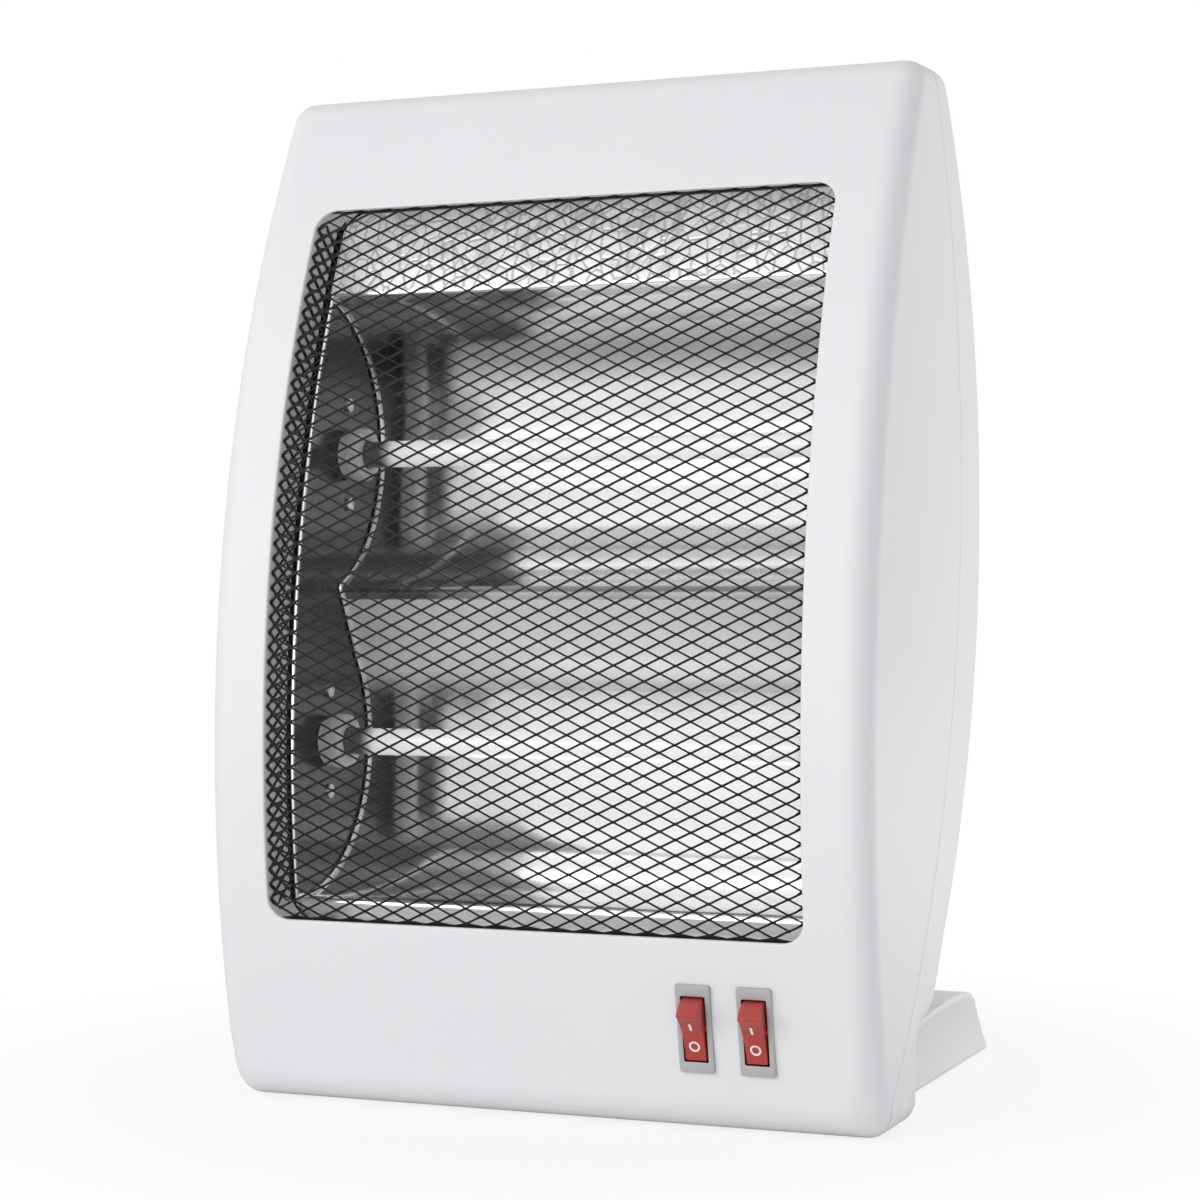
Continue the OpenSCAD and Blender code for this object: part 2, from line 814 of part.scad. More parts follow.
module clip_rivets() {
    color(steel_grey) for (a = tube_axes, s = [0, 1], e = [-1, 1])
        at_axis(a) mirror([s, 0, 0]) translate([0, 0, e * rivet_offset]) {
            x_cylinder(reflector_half - 1, plate_out + clip_t + 1, rivet_r);
            x_cylinder(reflector_half - 1, reflector_half, 2.6);
            x_cylinder(plate_out + clip_t, plate_out + clip_t + 1, 2.6);
        }
}

// Lead-through pins from the coil ends to the outside of the caps, with their nuts
module tube_terminals() {
    color("goldenrod") for (a = tube_axes, s = [0, 1]) at_axis(a) mirror([s, 0, 0]) {
        x_cylinder(coil_half, cap_end + 5, pin_r);
        x_cylinder(cap_end, cap_end + 2, 3);
    }
}

// ---- Screws ----

module screw(shank_r, shank_l, head_r, head_h) {
    cylinder(h = shank_l, r = shank_r);
    translate([0, 0, -head_h]) difference() {
        cylinder(h = head_h, r = head_r);
        for (a = [0, 90]) rotate([0, 0, a])
            translate([-head_r * 0.6, -0.4, -1]) cube([head_r * 1.2, 0.8, 1 + head_h * 0.5]);
    }
}

// Screws that clamp the flanges and the guard to the front shell's bosses
module reflector_screws() {
    color(steel_grey) for (s = [-1, 1], z = flange_screw_z) on_front(s * flange_screw_x, z)
        translate([0, flange_depth + sheet_t + 0.06, 0]) rotate([90, 0, 0])
            screw(pilot_r - 0.05, 9, 3, 2);
}

module case_screws() {
    color(steel_grey) for (p = screw_places)
        translate([p[0], boss_meet(p[1]) + 4, p[1]]) rotate([90, 0, 0])
            screw(pilot_r - 0.05, 14, screw_head_d / 2, 2.4);
}

// ---- Rocker switches ----

body_l = 28;
body_w = 10.4;
cavity_l = 2 * (rocker_r + 0.4);
cavity_w = rocker_w + 0.7;
mouth_l = 2 * sqrt(pow(rocker_r, 2) - pow(pivot_depth, 2)) + 0.6;
cavity_floor = 9;
// Y of the pivot in the frame of on_front
pivot_y = pivot_depth - bezel_proud;

module switch_body(x) {
    color(frame_grey) on_front(x, switch_z) difference() {
        union() {
            translate([-bezel_w / 2, -bezel_proud, -bezel_l / 2])
                cube([bezel_w, bezel_proud - 0.05, bezel_l]);
            translate([-body_w / 2, -bezel_proud, -body_l / 2])
                cube([body_w, bezel_proud + switch_depth, body_l]);
            // snap-in lugs behind the wall
            for (e = [-1, 1]) translate([-2.5, wall + 0.4, e * (body_l / 2) - 0.8])
                cube([5, 3, 1.6]);
        }
        translate([-cavity_w / 2, pivot_y - 0.6, -cavity_l / 2])
            cube([cavity_w, cavity_floor, cavity_l]);
        translate([-cavity_w / 2, -bezel_proud - 1, -mouth_l / 2])
            cube([cavity_w, 4, mouth_l]);
        translate([0, pivot_y, 0]) x_cylinder(-body_w, body_w, pivot_d / 2 + run_gap);
        for (e = [-1, 1]) translate([-tab_w / 2, cavity_floor, e * 7 - tab_t / 2])
            cube([tab_w, 20, tab_t]);
    }
}

module switch_body_inner() {
    switch_body(switch_x1);
}

module switch_body_outer() {
    switch_body(switch_x1 + switch_pitch);
}

tip_y = rocker_r * sin(tip_angle);
tip_x = rocker_r * cos(tip_angle);
// Radius of the concave face that meets the tips at the tilt angle
face_r = tip_x / sin(rocker_tilt);

// Side view of the rocker, upright about its pivot: x up the case, y outwards
module rocker_view() {
    difference() {
        intersection() {
            circle(r = rocker_r);
            translate([-rocker_r, -4]) square([2 * rocker_r, 4 + tip_y]);
        }
        translate([0, tip_y + face_r * cos(rocker_tilt)]) circle(r = face_r, $fn = 200);
    }
}

module rocker(x) {
    color(rocker_red) on_front(x, switch_z) translate([0, pivot_y, 0])
        rotate([rocker_tilt, 0, 0]) {
            along_x(-rocker_w / 2, rocker_w / 2) rotate(90) rocker_view();
            x_cylinder(-body_w / 2, body_w / 2, pivot_d / 2);
        }
}

module rocker_inner() {
    rocker(switch_x1);
}

module rocker_outer() {
    rocker(switch_x1 + switch_pitch);
}

tab_w = 4.8;
tab_t = 0.8;

// Blade terminals behind the two switches
module switch_tabs() {
    color("goldenrod") for (x = [switch_x1, switch_x1 + switch_pitch], e = [-1, 1])
        on_front(x, switch_z) translate([-tab_w / 2, cavity_floor + 0.5, e * 7 - tab_t / 2])
            cube([tab_w, switch_depth - cavity_floor + 7, tab_t]);
}

// ---- Tip-over switch ----

collar_h = 2;
collar_z = plunger_boss_h + plunger_travel + 0.1;
stem_r = 3;
tip_body_h = 15;
blade_x = 5;

module at_plunger() {
    translate([0, -plunger_back, 0]) children();
}

module tip_plunger() {
    color("dimgray") at_plunger() {
        cylinder(h = collar_z + collar_h, r = plunger_d / 2);
        translate([0, 0, collar_z]) cylinder(h = collar_h, r = plunger_d / 2 + 1.6);
        cylinder(h = tip_switch_z - clear, r = stem_r);
    }
}

// Space of the return spring between the collar and the switch
module tip_spring() {
    color(steel_grey) at_plunger() translate([0, 0, collar_z + collar_h]) difference() {
        cylinder(h = tip_switch_z - collar_z - collar_h, r = stem_r + 1.8);
        translate([0, 0, -1]) cylinder(h = tip_switch_z, r = stem_r + 0.8);
    }
}

module tip_switch() {
    color("dimgray") at_plunger() translate([-16, -6, tip_switch_z]) difference() {
        union() {
            cube([32, 12, 4]);
            translate([7, 0, 0]) cube([18, 12, tip_body_h]);
            for (s = [-1, 1]) translate([16 + s * blade_x - tab_w / 2, 6 - tab_t / 2, 4])
                cube([tab_w, tab_t, tip_body_h + 2]);
        }
        for (s = [-1, 1]) translate([16 + s * post_x, 6, -1]) cylinder(h = 8, r = 1.2);
    }
}

module tip_switch_screws() {
    color(steel_grey) at_plunger() for (s = [-1, 1])
        translate([s * post_x, 0, tip_switch_z + 4]) rotate([180, 0, 0])
            screw(post_pilot_r - 0.05, 12, 2, 1.4);
}

// ---- Other parts inside ----

// Bimetal cut-out clipped to the back of the upper trough
module thermal_cutout() {
    color("tan") translate([-10, upper_trough[0] + upper_trough_r + sheet_t + 0.1,
        upper_trough[1] - 5]) cube([20, 7, 10]);
}

block_x = block_side - half_w;

// Terminal block on the inside of the front shell
module terminal_block() {
    color("ivory") on_front(block_x, switch_z) difference() {
        translate([-block_l / 2, wall + 0.1, -block_h / 2]) cube([block_l, block_depth, block_h]);
        for (i = [-1, 0, 1]) translate([i * 11, wall + 9, -9]) cylinder(h = 18, r = 1.9);
        for (i = [-1, 0, 1], e = [-1, 1]) translate([i * 11, wall + 9, e * 4])
            rotate([-90, 0, 0]) cylinder(h = 8, r = 1.6);
    }
}

// Bush that the mains lead passes through
module cord_inlet() {
    color("gray") on_rear(0, inlet_z) rotate([-90, 0, 0]) difference() {
        union() {
            translate([0, 0, 0.05]) cylinder(h = 3, d = inlet_hole_d + 6);
            translate([0, 0, -wall - 4]) cylinder(h = wall + 5, d = inlet_hole_d - 0.2);
            translate([0, 0, -wall - 2.1]) cylinder(h = 2, d = inlet_hole_d + 2);
        }
        translate([0, 0, -wall - 5]) cylinder(h = 20, d = inlet_bore_d);
    }
}

// ---- Wires inside the case ----

wire_d = 2.4;
wire_sides = 8;
// Rings between two chosen points of a route
wire_steps = 4;

// A point given in the frame of on_front, as a point of the case
function front_point(x, z, y_in, z_in) =
    let (a = -asin((z - front_cz) / front_r), y = y_in - front_r)
    [x, front_cy + y * cos(a) - z_in * sin(a), front_cz + y * sin(a) + z_in * cos(a)];

// Smooth curve through the points p
function spline(p) = [for (i = [0 : len(p) - 2], k = [0 : wire_steps - 1])
    let (a = p[max(i - 1, 0)], b = p[i], c = p[i + 1], d = p[min(i + 2, len(p) - 1)],
        t = k / wire_steps)
    0.5 * (2 * b + (c - a) * t + (2 * a - 5 * b + 4 * c - d) * t * t
        + (3 * b - a - 3 * c + d) * t * t * t)];
function tangent(q, i) = unit(q[min(i + 1, len(q) - 1)] - q[max(i - 1, 0)]);
// Side direction at ring i, carried along the curve without twist
function sides_of(q, i, v) = let (t = tangent(q, i), w = unit(v - (v * t) * t))
    i == len(q) - 1 ? [w] : concat([w], sides_of(q, i + 1, w));

module wire(p, paint, first_side = [0.3, 0.9, 0.2]) {
    q = concat(spline(p), [p[len(p) - 1]]);
    side = sides_of(q, 0, first_side);
    n = wire_sides;
    rings = [for (i = [0 : len(q) - 1], k = [0 : n - 1])
        let (u = side[i], v = cross(tangent(q, i), u))
        q[i] + wire_d / 2 * (cos(360 * k / n) * u + sin(360 * k / n) * v)];
    last = (len(q) - 1) * n;
    color(paint) polyhedron(rings, concat(
        [[for (k = [n - 1 : -1 : 0]) k]],
        [for (i = [0 : len(q) - 2], k = [0 : n - 1], h = [0, 1])
            let (a = i * n + k, b = i * n + (k + 1) % n)
            h == 0 ? [a, b, b + n] : [a, b + n, a + n]],
        [[for (k = [0 : n - 1]) last + k]]));
}

// Depth of the wire holes of the terminal block and of the ends of the switch tabs
pole_y = wall + 9;
pole_x = 11;
tab_end = switch_depth + 7.5;
side_x = cap_end + 3.5;
tab_side = 1.3;
pin_touch = pin_r + 0.02;
cutout_y = upper_trough[0] + upper_trough_r + sheet_t + 3.6;
cutout_z = upper_trough[1];
blade_top = tip_switch_z + tip_body_h + 6;

function tab_point(x, e, more) = front_point(x, switch_z, tab_end + more, e * 7);

module live_lead() {
    wire([front_point(block_x + pole_x, switch_z, pole_y, 3),
        front_point(block_x + pole_x, switch_z, pole_y, 8),
        front_point(block_x + pole_x, switch_z, pole_y, 12),
        [block_x + 16, -plunger_back - 16, blade_top + 7],
        [block_x + 28, -plunger_back - 6, blade_top + 8], [-16, -plunger_back, blade_top + 9],
        [-blade_x, -plunger_back, blade_top + 8], [-blade_x, -plunger_back, blade_top + 4],
        [-blade_x, -plunger_back, blade_top + 0.02]], "saddlebrown");
}

module cutout_lead_in() {
    wire([[blade_x, -plunger_back, blade_top + 0.02], [blade_x, -plunger_back, blade_top + 4],
        [blade_x, -plunger_back, blade_top + 8], [5, 12 - plunger_back, blade_top + 12],
        [4, cutout_y - 24, blade_top + 29], [0, cutout_y - 4, cutout_z - 129],
        [-6, cutout_y, cutout_z - 89], [-20, cutout_y + 1, cutout_z - 44],
        [-28, cutout_y, cutout_z - 12], [-22, cutout_y, cutout_z], [-16, cutout_y, cutout_z],
        [-10.02, cutout_y, cutout_z]], "saddlebrown", [0.3, 0.2, 0.9]);
}

module cutout_lead_out() {
    x = switch_x1 - tab_side;
    wire([[10.02, cutout_y, cutout_z], [16, cutout_y, cutout_z], [22, cutout_y, cutout_z],
        [28, cutout_y, cutout_z - 12], [30, cutout_y + 1, cutout_z - 44],
        [32, cutout_y, cutout_z - 89], [36, cutout_y - 4, cutout_z - 129],
        [x - 15, cutout_y - 20, switch_z + 44], [x - 5, cutout_y - 34, switch_z + 26],
        [x, cutout_y - 48, switch_z + 8], tab_point(x, -1, 12), tab_point(x, -1, 6),
        tab_point(x, -1, 0.02)], "saddlebrown");
}

module switch_link() {
    x0 = switch_x1 + tab_side;
    x1 = switch_x1 + switch_pitch;
    wire([tab_point(x0, -1, 0.02), tab_point(x0, -1, 4), tab_point(x0, -1, 8),
        tab_point(x0 + 1.5, -1, 11), tab_point((x0 + x1) / 2, -1, 14),
        tab_point(x1 - 1.5, -1, 11), tab_point(x1, -1, 8), tab_point(x1, -1, 4),
        tab_point(x1, -1, 0.02)], "saddlebrown");
}

module upper_tube_lead() {
    wire([tab_point(switch_x1, 1, 0.02), tab_point(switch_x1, 1, 5), tab_point(switch_x1, 1, 10),
        [switch_x1 + 11, upper_axis[0] - 20, switch_z + 20],
        [side_x - 24, upper_axis[0] - 9, switch_z + 24],
        [side_x - 8, upper_axis[0] - 3, switch_z + 33],
        [side_x, upper_axis[0], switch_z + 56], [side_x, upper_axis[0], upper_axis[1] - 86],
        [side_x, upper_axis[0], upper_axis[1] - 14],
        [side_x, upper_axis[0], upper_axis[1] - pin_touch]], "firebrick");
}

module lower_tube_lead() {
    x = switch_x1 + switch_pitch;
    wire([tab_point(x, 1, 0.02), tab_point(x, 1, 4), tab_point(x, 1, 8),
        [side_x - 18, lower_axis[0] - 10, switch_z + 19],
        [side_x - 5, lower_axis[0] - 4, switch_z + 30], [side_x, lower_axis[0], switch_z + 50],
        [side_x, lower_axis[0], lower_axis[1] - 16], [side_x, lower_axis[0], lower_axis[1] - 8],
        [side_x, lower_axis[0], lower_axis[1] - pin_touch]], "firebrick");
}

module neutral_lead() {
    wire([front_point(block_x - pole_x, switch_z, pole_y, 3),
        front_point(block_x - pole_x, switch_z, pole_y, 8),
        front_point(block_x - pole_x, switch_z, pole_y, 12),
        [36 - side_x, lower_axis[0] - 28, switch_z + 21],
        [18 - side_x, lower_axis[0] - 16, switch_z + 23],
        [5 - side_x, lower_axis[0] - 6, switch_z + 32], [-side_x, lower_axis[0], switch_z + 50],
        [-side_x, lower_axis[0], lower_axis[1] - 16], [-side_x, lower_axis[0], lower_axis[1] - 8],
        [-side_x, lower_axis[0], lower_axis[1] - pin_touch]], "steelblue");
}

module neutral_link() {
    mid = (lower_axis + upper_axis) / 2;
    wire([[-side_x, lower_axis[0], lower_axis[1] + pin_touch],
        [-side_x, lower_axis[0], lower_axis[1] + 8], [-side_x, lower_axis[0], lower_axis[1] + 16],
        [-side_x, mid[0] - 2, mid[1] - 6], [-side_x, upper_axis[0], upper_axis[1] - 16],
        [-side_x, upper_axis[0], upper_axis[1] - 8],
        [-side_x, upper_axis[0], upper_axis[1] - pin_touch]], "steelblue");
}

front_shell();
rear_shell();
mesh_guard();
reflector();
end_plate_left();
end_plate_right();
upper_tube();
lower_tube();
upper_coil();
lower_coil();
cap_upper_left();
cap_upper_right();
cap_lower_left();
cap_lower_right();
clip_upper_left();
clip_upper_right();
clip_lower_left();
clip_lower_right();
clip_rivets();
tube_terminals();
reflector_screws();
case_screws();
switch_body_inner();
switch_body_outer();
rocker_inner();
rocker_outer();
switch_tabs();
tip_switch();
tip_plunger();
tip_spring();
tip_switch_screws();
thermal_cutout();
terminal_block();
cord_inlet();
live_lead();
cutout_lead_in();
cutout_lead_out();
switch_link();
upper_tube_lead();
lower_tube_lead();
neutral_lead();
neutral_link();
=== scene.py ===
"""A two-bar quartz heater on a white studio floor: smooth white case shells with the window,
the back vents and the feet, the folded mesh guard, the polished double trough, milky quartz
tubes in ceramic caps, and two red rocker switches. Lengths are in millimetres until a mesh
is made."""
import math

import bpy
import numpy as np
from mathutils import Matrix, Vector


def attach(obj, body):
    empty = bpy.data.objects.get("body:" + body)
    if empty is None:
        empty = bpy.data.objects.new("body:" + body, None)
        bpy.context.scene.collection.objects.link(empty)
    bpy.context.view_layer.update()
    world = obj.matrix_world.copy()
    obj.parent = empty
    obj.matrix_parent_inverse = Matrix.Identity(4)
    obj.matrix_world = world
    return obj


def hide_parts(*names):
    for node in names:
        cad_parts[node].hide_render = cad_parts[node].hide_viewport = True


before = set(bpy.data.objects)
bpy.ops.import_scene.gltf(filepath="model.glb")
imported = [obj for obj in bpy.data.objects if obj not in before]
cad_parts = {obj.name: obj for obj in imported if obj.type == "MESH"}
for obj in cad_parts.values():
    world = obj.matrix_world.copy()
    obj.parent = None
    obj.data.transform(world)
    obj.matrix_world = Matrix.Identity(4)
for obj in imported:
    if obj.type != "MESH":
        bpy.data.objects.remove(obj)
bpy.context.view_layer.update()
MM = 0.001

# ---- Sizes shared with the solids ----

HALF_W = 124.0
CASE_H = 370.0
FRONT = (369.0, 128.0, 480.0)
REAR = (-215.5, 215.0, 255.0)
PARTING = (-286.0, 225.0, 293.0)
WINDOW = (100.0, 67.0, 324.5, 7.5)
UPPER_TROUGH = (-68.0, 239.0, 57.5)
LOWER_TROUGH = (-77.0, 127.0, 55.5)
RIDGE = (-44.0, 182.0)
UPPER_AXIS = (-38.0, 236.0)
LOWER_AXIS = (-54.0, 128.0)
PLATE_X = 103.6
SWITCH_X = (60.4, 82.1)
SWITCH_Z = 36.4
WALL = 2.5
WINDOW_ROLL = 0.9
PART_ROLL = 0.25


# ---- Materials ----

class Sock:
    """A node's output; arithmetic on a value adds Math nodes."""

    def __init__(self, maker, node, out=0):
        self.maker, self.node, self.out = maker, node, out

    def _math(self, operation, *values):
        return self.maker.node("ShaderNodeMath", {"operation": operation}, *values)

    def __add__(self, other):
        return self._math("ADD", self, other)

    def __sub__(self, other):
        return self._math("SUBTRACT", self, other)

    def __rsub__(self, other):
        return self._math("SUBTRACT", other, self)

    def __mul__(self, other):
        return self._math("MULTIPLY", self, other)

    def __abs__(self):
        return self._math("ABSOLUTE", self)

    __radd__ = __add__
    __rmul__ = __mul__

    def larger(self, other):
        return self._math("MAXIMUM", self, other)

    def step(self, low, high):
        """0 below low, 1 above high, smooth between."""
        return self.maker.node("ShaderNodeMapRange", {"interpolation_type": "SMOOTHSTEP"},
                               self, low, high, 0.0, 1.0)


class Nodes:
    """An emptied node tree and the one method that adds nodes to it."""

    def __init__(self, tree):
        self.tree = tree
        tree.nodes.clear()

    def put(self, target, key, value):
        """Sets or links one input of a node."""
        field = target.node.inputs[key]
        if isinstance(value, Sock):
            self.tree.links.new(value.node.outputs[value.out], field)
        elif isinstance(value, tuple) and len(field.default_value) == len(value) + 1:
            field.default_value = (*value, 1.0)
        else:
            field.default_value = value

    def node(self, kind, settings, *values, out=0, at=None, **named):
        """Adds a node: its settings first, then the values or links of its sockets, in
        order, by number (at) or by name with _ for a space."""
        made = Sock(self, self.tree.nodes.new(kind), out)
        for key, value in settings.items():
            setattr(made.node, key, value)
        sockets = dict(enumerate(values))
        sockets.update(at or {})
        sockets.update({key.replace("_", " "): value for key, value in named.items()})
        for key, value in sockets.items():
            self.put(made, key, value)
        return made


class Finish(Nodes):
    """A material with its surface shader."""

    def __init__(self, name, **constants):
        self.material = bpy.data.materials.new(name)
        self.material.use_nodes = True
        super().__init__(self.material.node_tree)
        self.shader = self.node("ShaderNodeBsdfPrincipled", {}, **constants)
        self.result = self.node("ShaderNodeOutputMaterial", {}, self.shader)
        self.place = self.node("ShaderNodeTexCoord", {}, out="Object")

    def axis(self, i):
        return self.node("ShaderNodeSeparateXYZ", {}, self.place, out=i)

    def stretched(self, x, y, z):
        return self.node("ShaderNodeMapping", {}, self.place, Scale=(x, y, z))

    def noise(self, scale, detail=3.0, rough=0.5, where=None):
        return self.node("ShaderNodeTexNoise", {}, Vector=where or self.place, Scale=scale,
                         Detail=detail, Roughness=rough)

    def mix(self, amount, low, high):
        """A colour between low and high."""
        return self.node("ShaderNodeMix", {"data_type": "RGBA"}, out=2,
                         at={0: amount, 6: low, 7: high})

    def colour(self, value):
        self.put(self.shader, "Base Color", value)

    def rough(self, value):
        self.put(self.shader, "Roughness", value)

    def bump(self, height, strength, distance=0.001):
        normal = self.node("ShaderNodeBump", {}, Height=height, Strength=strength,
                           Distance=distance)
        self.put(self.shader, "Normal", normal)


def case_plastic():
    """White moulded plastic, satin, with a very fine grain and slow swells of the moulding."""
    m = Finish("case_plastic", IOR=1.5)
    cloud = m.noise(14.0, 2.0)
    m.colour(m.mix(cloud, (0.755, 0.757, 0.770), (0.780, 0.782, 0.793)))
    m.rough(0.42 + 0.10 * m.noise(60.0, 4.0))
    m.bump(m.noise(1500.0, 2.0) * 0.4 + m.noise(9.0, 1.0) * 3.0, 0.05, 0.0004)
    return m.material


def guard_enamel():
    """Black stoved enamel on the mesh, a little orange-peeled, dull where it is thin."""
    m = Finish("guard_enamel", IOR=1.45, Specular_IOR_Level=0.22)
    wear = m.noise(700.0, 3.0).step(0.55, 0.75)
    m.colour(m.mix(wear, (0.006, 0.006, 0.007), (0.020, 0.020, 0.022)))
    m.rough(0.38 + 0.25 * m.noise(400.0, 3.0))
    m.bump(m.noise(900.0, 2.0), 0.15, 0.0002)
    return m.material


def polished_sheet(name, light, dark, sheen, crinkle):
    """Bright rolled sheet: long rolling lines, fine scratches and shallow dents."""
    m = Finish(name, Metallic=1.0)
    lines = m.noise(1.0, 4.0, 0.6, m.stretched(6.0, 900.0, 900.0))
    m.colour(m.mix(m.noise(11.0, 3.0), dark, light))
    m.rough(sheen + 0.06 * lines + 0.05 * m.noise(40.0, 3.0))
    m.bump(m.noise(34.0, 2.0) * crinkle + lines * 0.02, 0.20, 0.002)
    return m.material


def trough_metal():
    """The troughs: bright rolled sheet with painted shade, darkened just over the ridge and
    under the top bend, and scuffed to a soft grey under the ridge, whose crest stays bright."""
    m = Finish("trough_sheet")
    height = m.axis(2)
    crest = RIDGE[1] * MM
    lines = m.noise(1.0, 4.0, 0.6, m.stretched(6.0, 900.0, 900.0))
    bright = m.mix(m.noise(11.0, 3.0), (0.88, 0.88, 0.88), (0.94, 0.94, 0.93))
    # Painted shade: bands just over the ridge crest and under the top bend are darkened to a
    # dull grey.
    painted_shade_over_ridge = height.step(crest + 0.0012, crest + 0.0022)
    painted_shade_over_ridge = painted_shade_over_ridge * (1 - height.step(crest + 0.009, crest + 0.029))
    painted_shade_under_bend = height.step(0.257, 0.276) * (1 - height.step(0.283, 0.288))
    m.colour(m.mix(painted_shade_over_ridge * 0.86 + painted_shade_under_bend * 0.80, bright, (0.22, 0.22, 0.225)))
    scuffed = height.step(crest - 0.040, crest - 0.026)
    scuffed = scuffed * (1 - height.step(crest - 0.0014, crest - 0.0006))
    m.put(m.shader, "Metallic", 1 - scuffed * 0.88)
    m.rough(0.07 + 0.06 * lines + 0.05 * m.noise(40.0, 3.0) + scuffed * 0.10)
    m.bump(m.noise(34.0, 2.0) * 0.12 + lines * 0.02, 0.20, 0.002)
    return m.material


def creased_sheet():
    """The top flange: bright sheet with small sharp creases left by the press, painted darker
    along the creases and in random patches. It lies in the deepest shade of the case, and a
    painted glow lifts it."""
    m = Finish("creased_sheet", Metallic=0.35, Emission_Strength=0.30)
    cells = m.node("ShaderNodeTexVoronoi", {"feature": "DISTANCE_TO_EDGE"},
                   Vector=m.stretched(1.0, 1.0, 0.55), Scale=190.0, Randomness=1.0)
    # Painted shade and glow: colour and emission drop along the cell creases (painted shade)
    # and in random patches.
    painted_light_between_creases = cells.step(0.0, 0.10) * m.noise(90.0, 3.0).step(0.20, 0.55)
    m.colour(m.mix(painted_light_between_creases, (0.60, 0.60, 0.60), (0.96, 0.96, 0.95)))
    m.put(m.shader, "Emission Color", m.mix(painted_light_between_creases, (0.56, 0.56, 0.56), (0.95, 0.95, 0.94)))
    m.rough(0.34 + 0.12 * m.noise(90.0, 3.0))
    m.bump(cells.step(0.0, 0.10) * 0.5 + m.noise(140.0, 3.0) * 0.7, 0.6, 0.0012)
    return m.material


def quartz_milk():
    """Milky quartz, clear and dark for a few millimetres beside the caps; a painted glow
    (emission on a tube that is not lit) keeps it pale inside the cavity."""
    m = Finish("quartz_milk", IOR=1.46, Coat_Roughness=0.08, Coat_Weight=0.5,
               Emission_Strength=0.32)
    away = abs(m.axis(0))
    clear = away.step(0.0805, 0.0890)
    body = m.mix(m.noise(90.0, 3.0), (0.90, 0.905, 0.91), (0.95, 0.95, 0.955))
    m.colour(m.mix(clear, body, (0.10, 0.10, 0.105)))
    # Painted glow: white emission along the milky part, almost none at the clear ends.
    m.put(m.shader, "Emission Color", m.mix(clear, (0.95, 0.96, 1.0), (0.02, 0.02, 0.02)))
    m.rough(0.22 + 0.10 * m.noise(150.0, 2.0))
    m.bump(m.noise(220.0, 2.0), 0.05, 0.0003)
    return m.material


def cap_ceramic():
    """Unglazed cream steatite with a fine speckle."""
    m = Finish("cap_ceramic", IOR=1.5)
    speck = m.noise(1400.0, 2.0).step(0.60, 0.72)
    body = m.mix(m.noise(120.0, 4.0), (0.66, 0.65, 0.62), (0.78, 0.77, 0.74))
    m.colour(m.mix(speck, body, (0.42, 0.41, 0.38)))
    m.rough(0.70 + 0.2 * m.noise(300.0, 2.0))
    m.bump(m.noise(1100.0, 3.0), 0.25, 0.0003)
    return m.material


def moulded(name, base, rough, grain=1200.0, strength=0.08, coat=0.0):
    """A moulded or drawn finish: one colour with a slight drift, a fine grain."""
    m = Finish(name, IOR=1.48, Coat_Weight=coat, Coat_Roughness=0.1)
    deep = tuple(c * 0.88 for c in base)
    m.colour(m.mix(m.noise(80.0, 3.0), deep, base))
    m.rough(rough + 0.12 * m.noise(200.0, 3.0))
    m.bump(m.noise(grain, 2.0), strength, 0.0003)
    return m.material


def worked_metal(name, base, rough):
    """Plated or drawn metal with fine turning lines."""
    m = Finish(name, Metallic=1.0)
    lines = m.noise(1.0, 3.0, 0.6, m.stretched(300.0, 2500.0, 2500.0))
    m.colour(m.mix(m.noise(160.0, 4.0), tuple(c * 0.8 for c in base), base))
    m.rough(rough + 0.15 * lines)
    m.bump(lines, 0.1, 0.0003)
    return m.material


CASE = case_plastic()
ENAMEL = guard_enamel()
TROUGH = trough_metal()
# Painted shade: the polished end plates are coloured near-black, standing for the shade of the
# cavity.
PLATE = polished_sheet("plate_sheet_painted_shade", (0.125, 0.125, 0.132), (0.085, 0.085, 0.092), 0.20, 0.10)
EDGE = polished_sheet("bright_edge", (0.97, 0.97, 0.96), (0.93, 0.93, 0.93), 0.22, 0.05)
FLANGE_SHEET = creased_sheet()
QUARTZ = quartz_milk()
CERAMIC = cap_ceramic()
BEZEL = moulded("switch_grey", (0.46, 0.46, 0.465), 0.40)
RED = moulded("rocker_red", (0.445, 0.038, 0.028), 0.28, 900.0, 0.05, 0.3)
# Painted shadow: near-black for the walls and floor of the switch wells.
SHADOW = moulded("recess_painted_shadow", (0.010, 0.010, 0.010), 0.55)
WHITE_MARK = moulded("mark_white", (0.86, 0.86, 0.86), 0.45)
STEEL = worked_metal("zinc_steel", (0.62, 0.62, 0.64), 0.28)
BRASS = worked_metal("brass", (0.74, 0.56, 0.26), 0.26)
WIRE_METAL = worked_metal("oxidised_wire", (0.20, 0.18, 0.17), 0.5)
DARK = moulded("dark_plastic", (0.030, 0.030, 0.033), 0.42)
TAN = moulded("phenolic_tan", (0.30, 0.17, 0.08), 0.5)
IVORY = moulded("block_ivory", (0.66, 0.62, 0.50), 0.45)
RUBBER = moulded("inlet_rubber", (0.055, 0.055, 0.058), 0.6, 700.0, 0.2)
BROWN = moulded("sleeve_brown", (0.10, 0.030, 0.012), 0.5)
CRIMSON = moulded("sleeve_red", (0.30, 0.018, 0.014), 0.5)
BLUE = moulded("sleeve_blue", (0.018, 0.055, 0.24), 0.5)

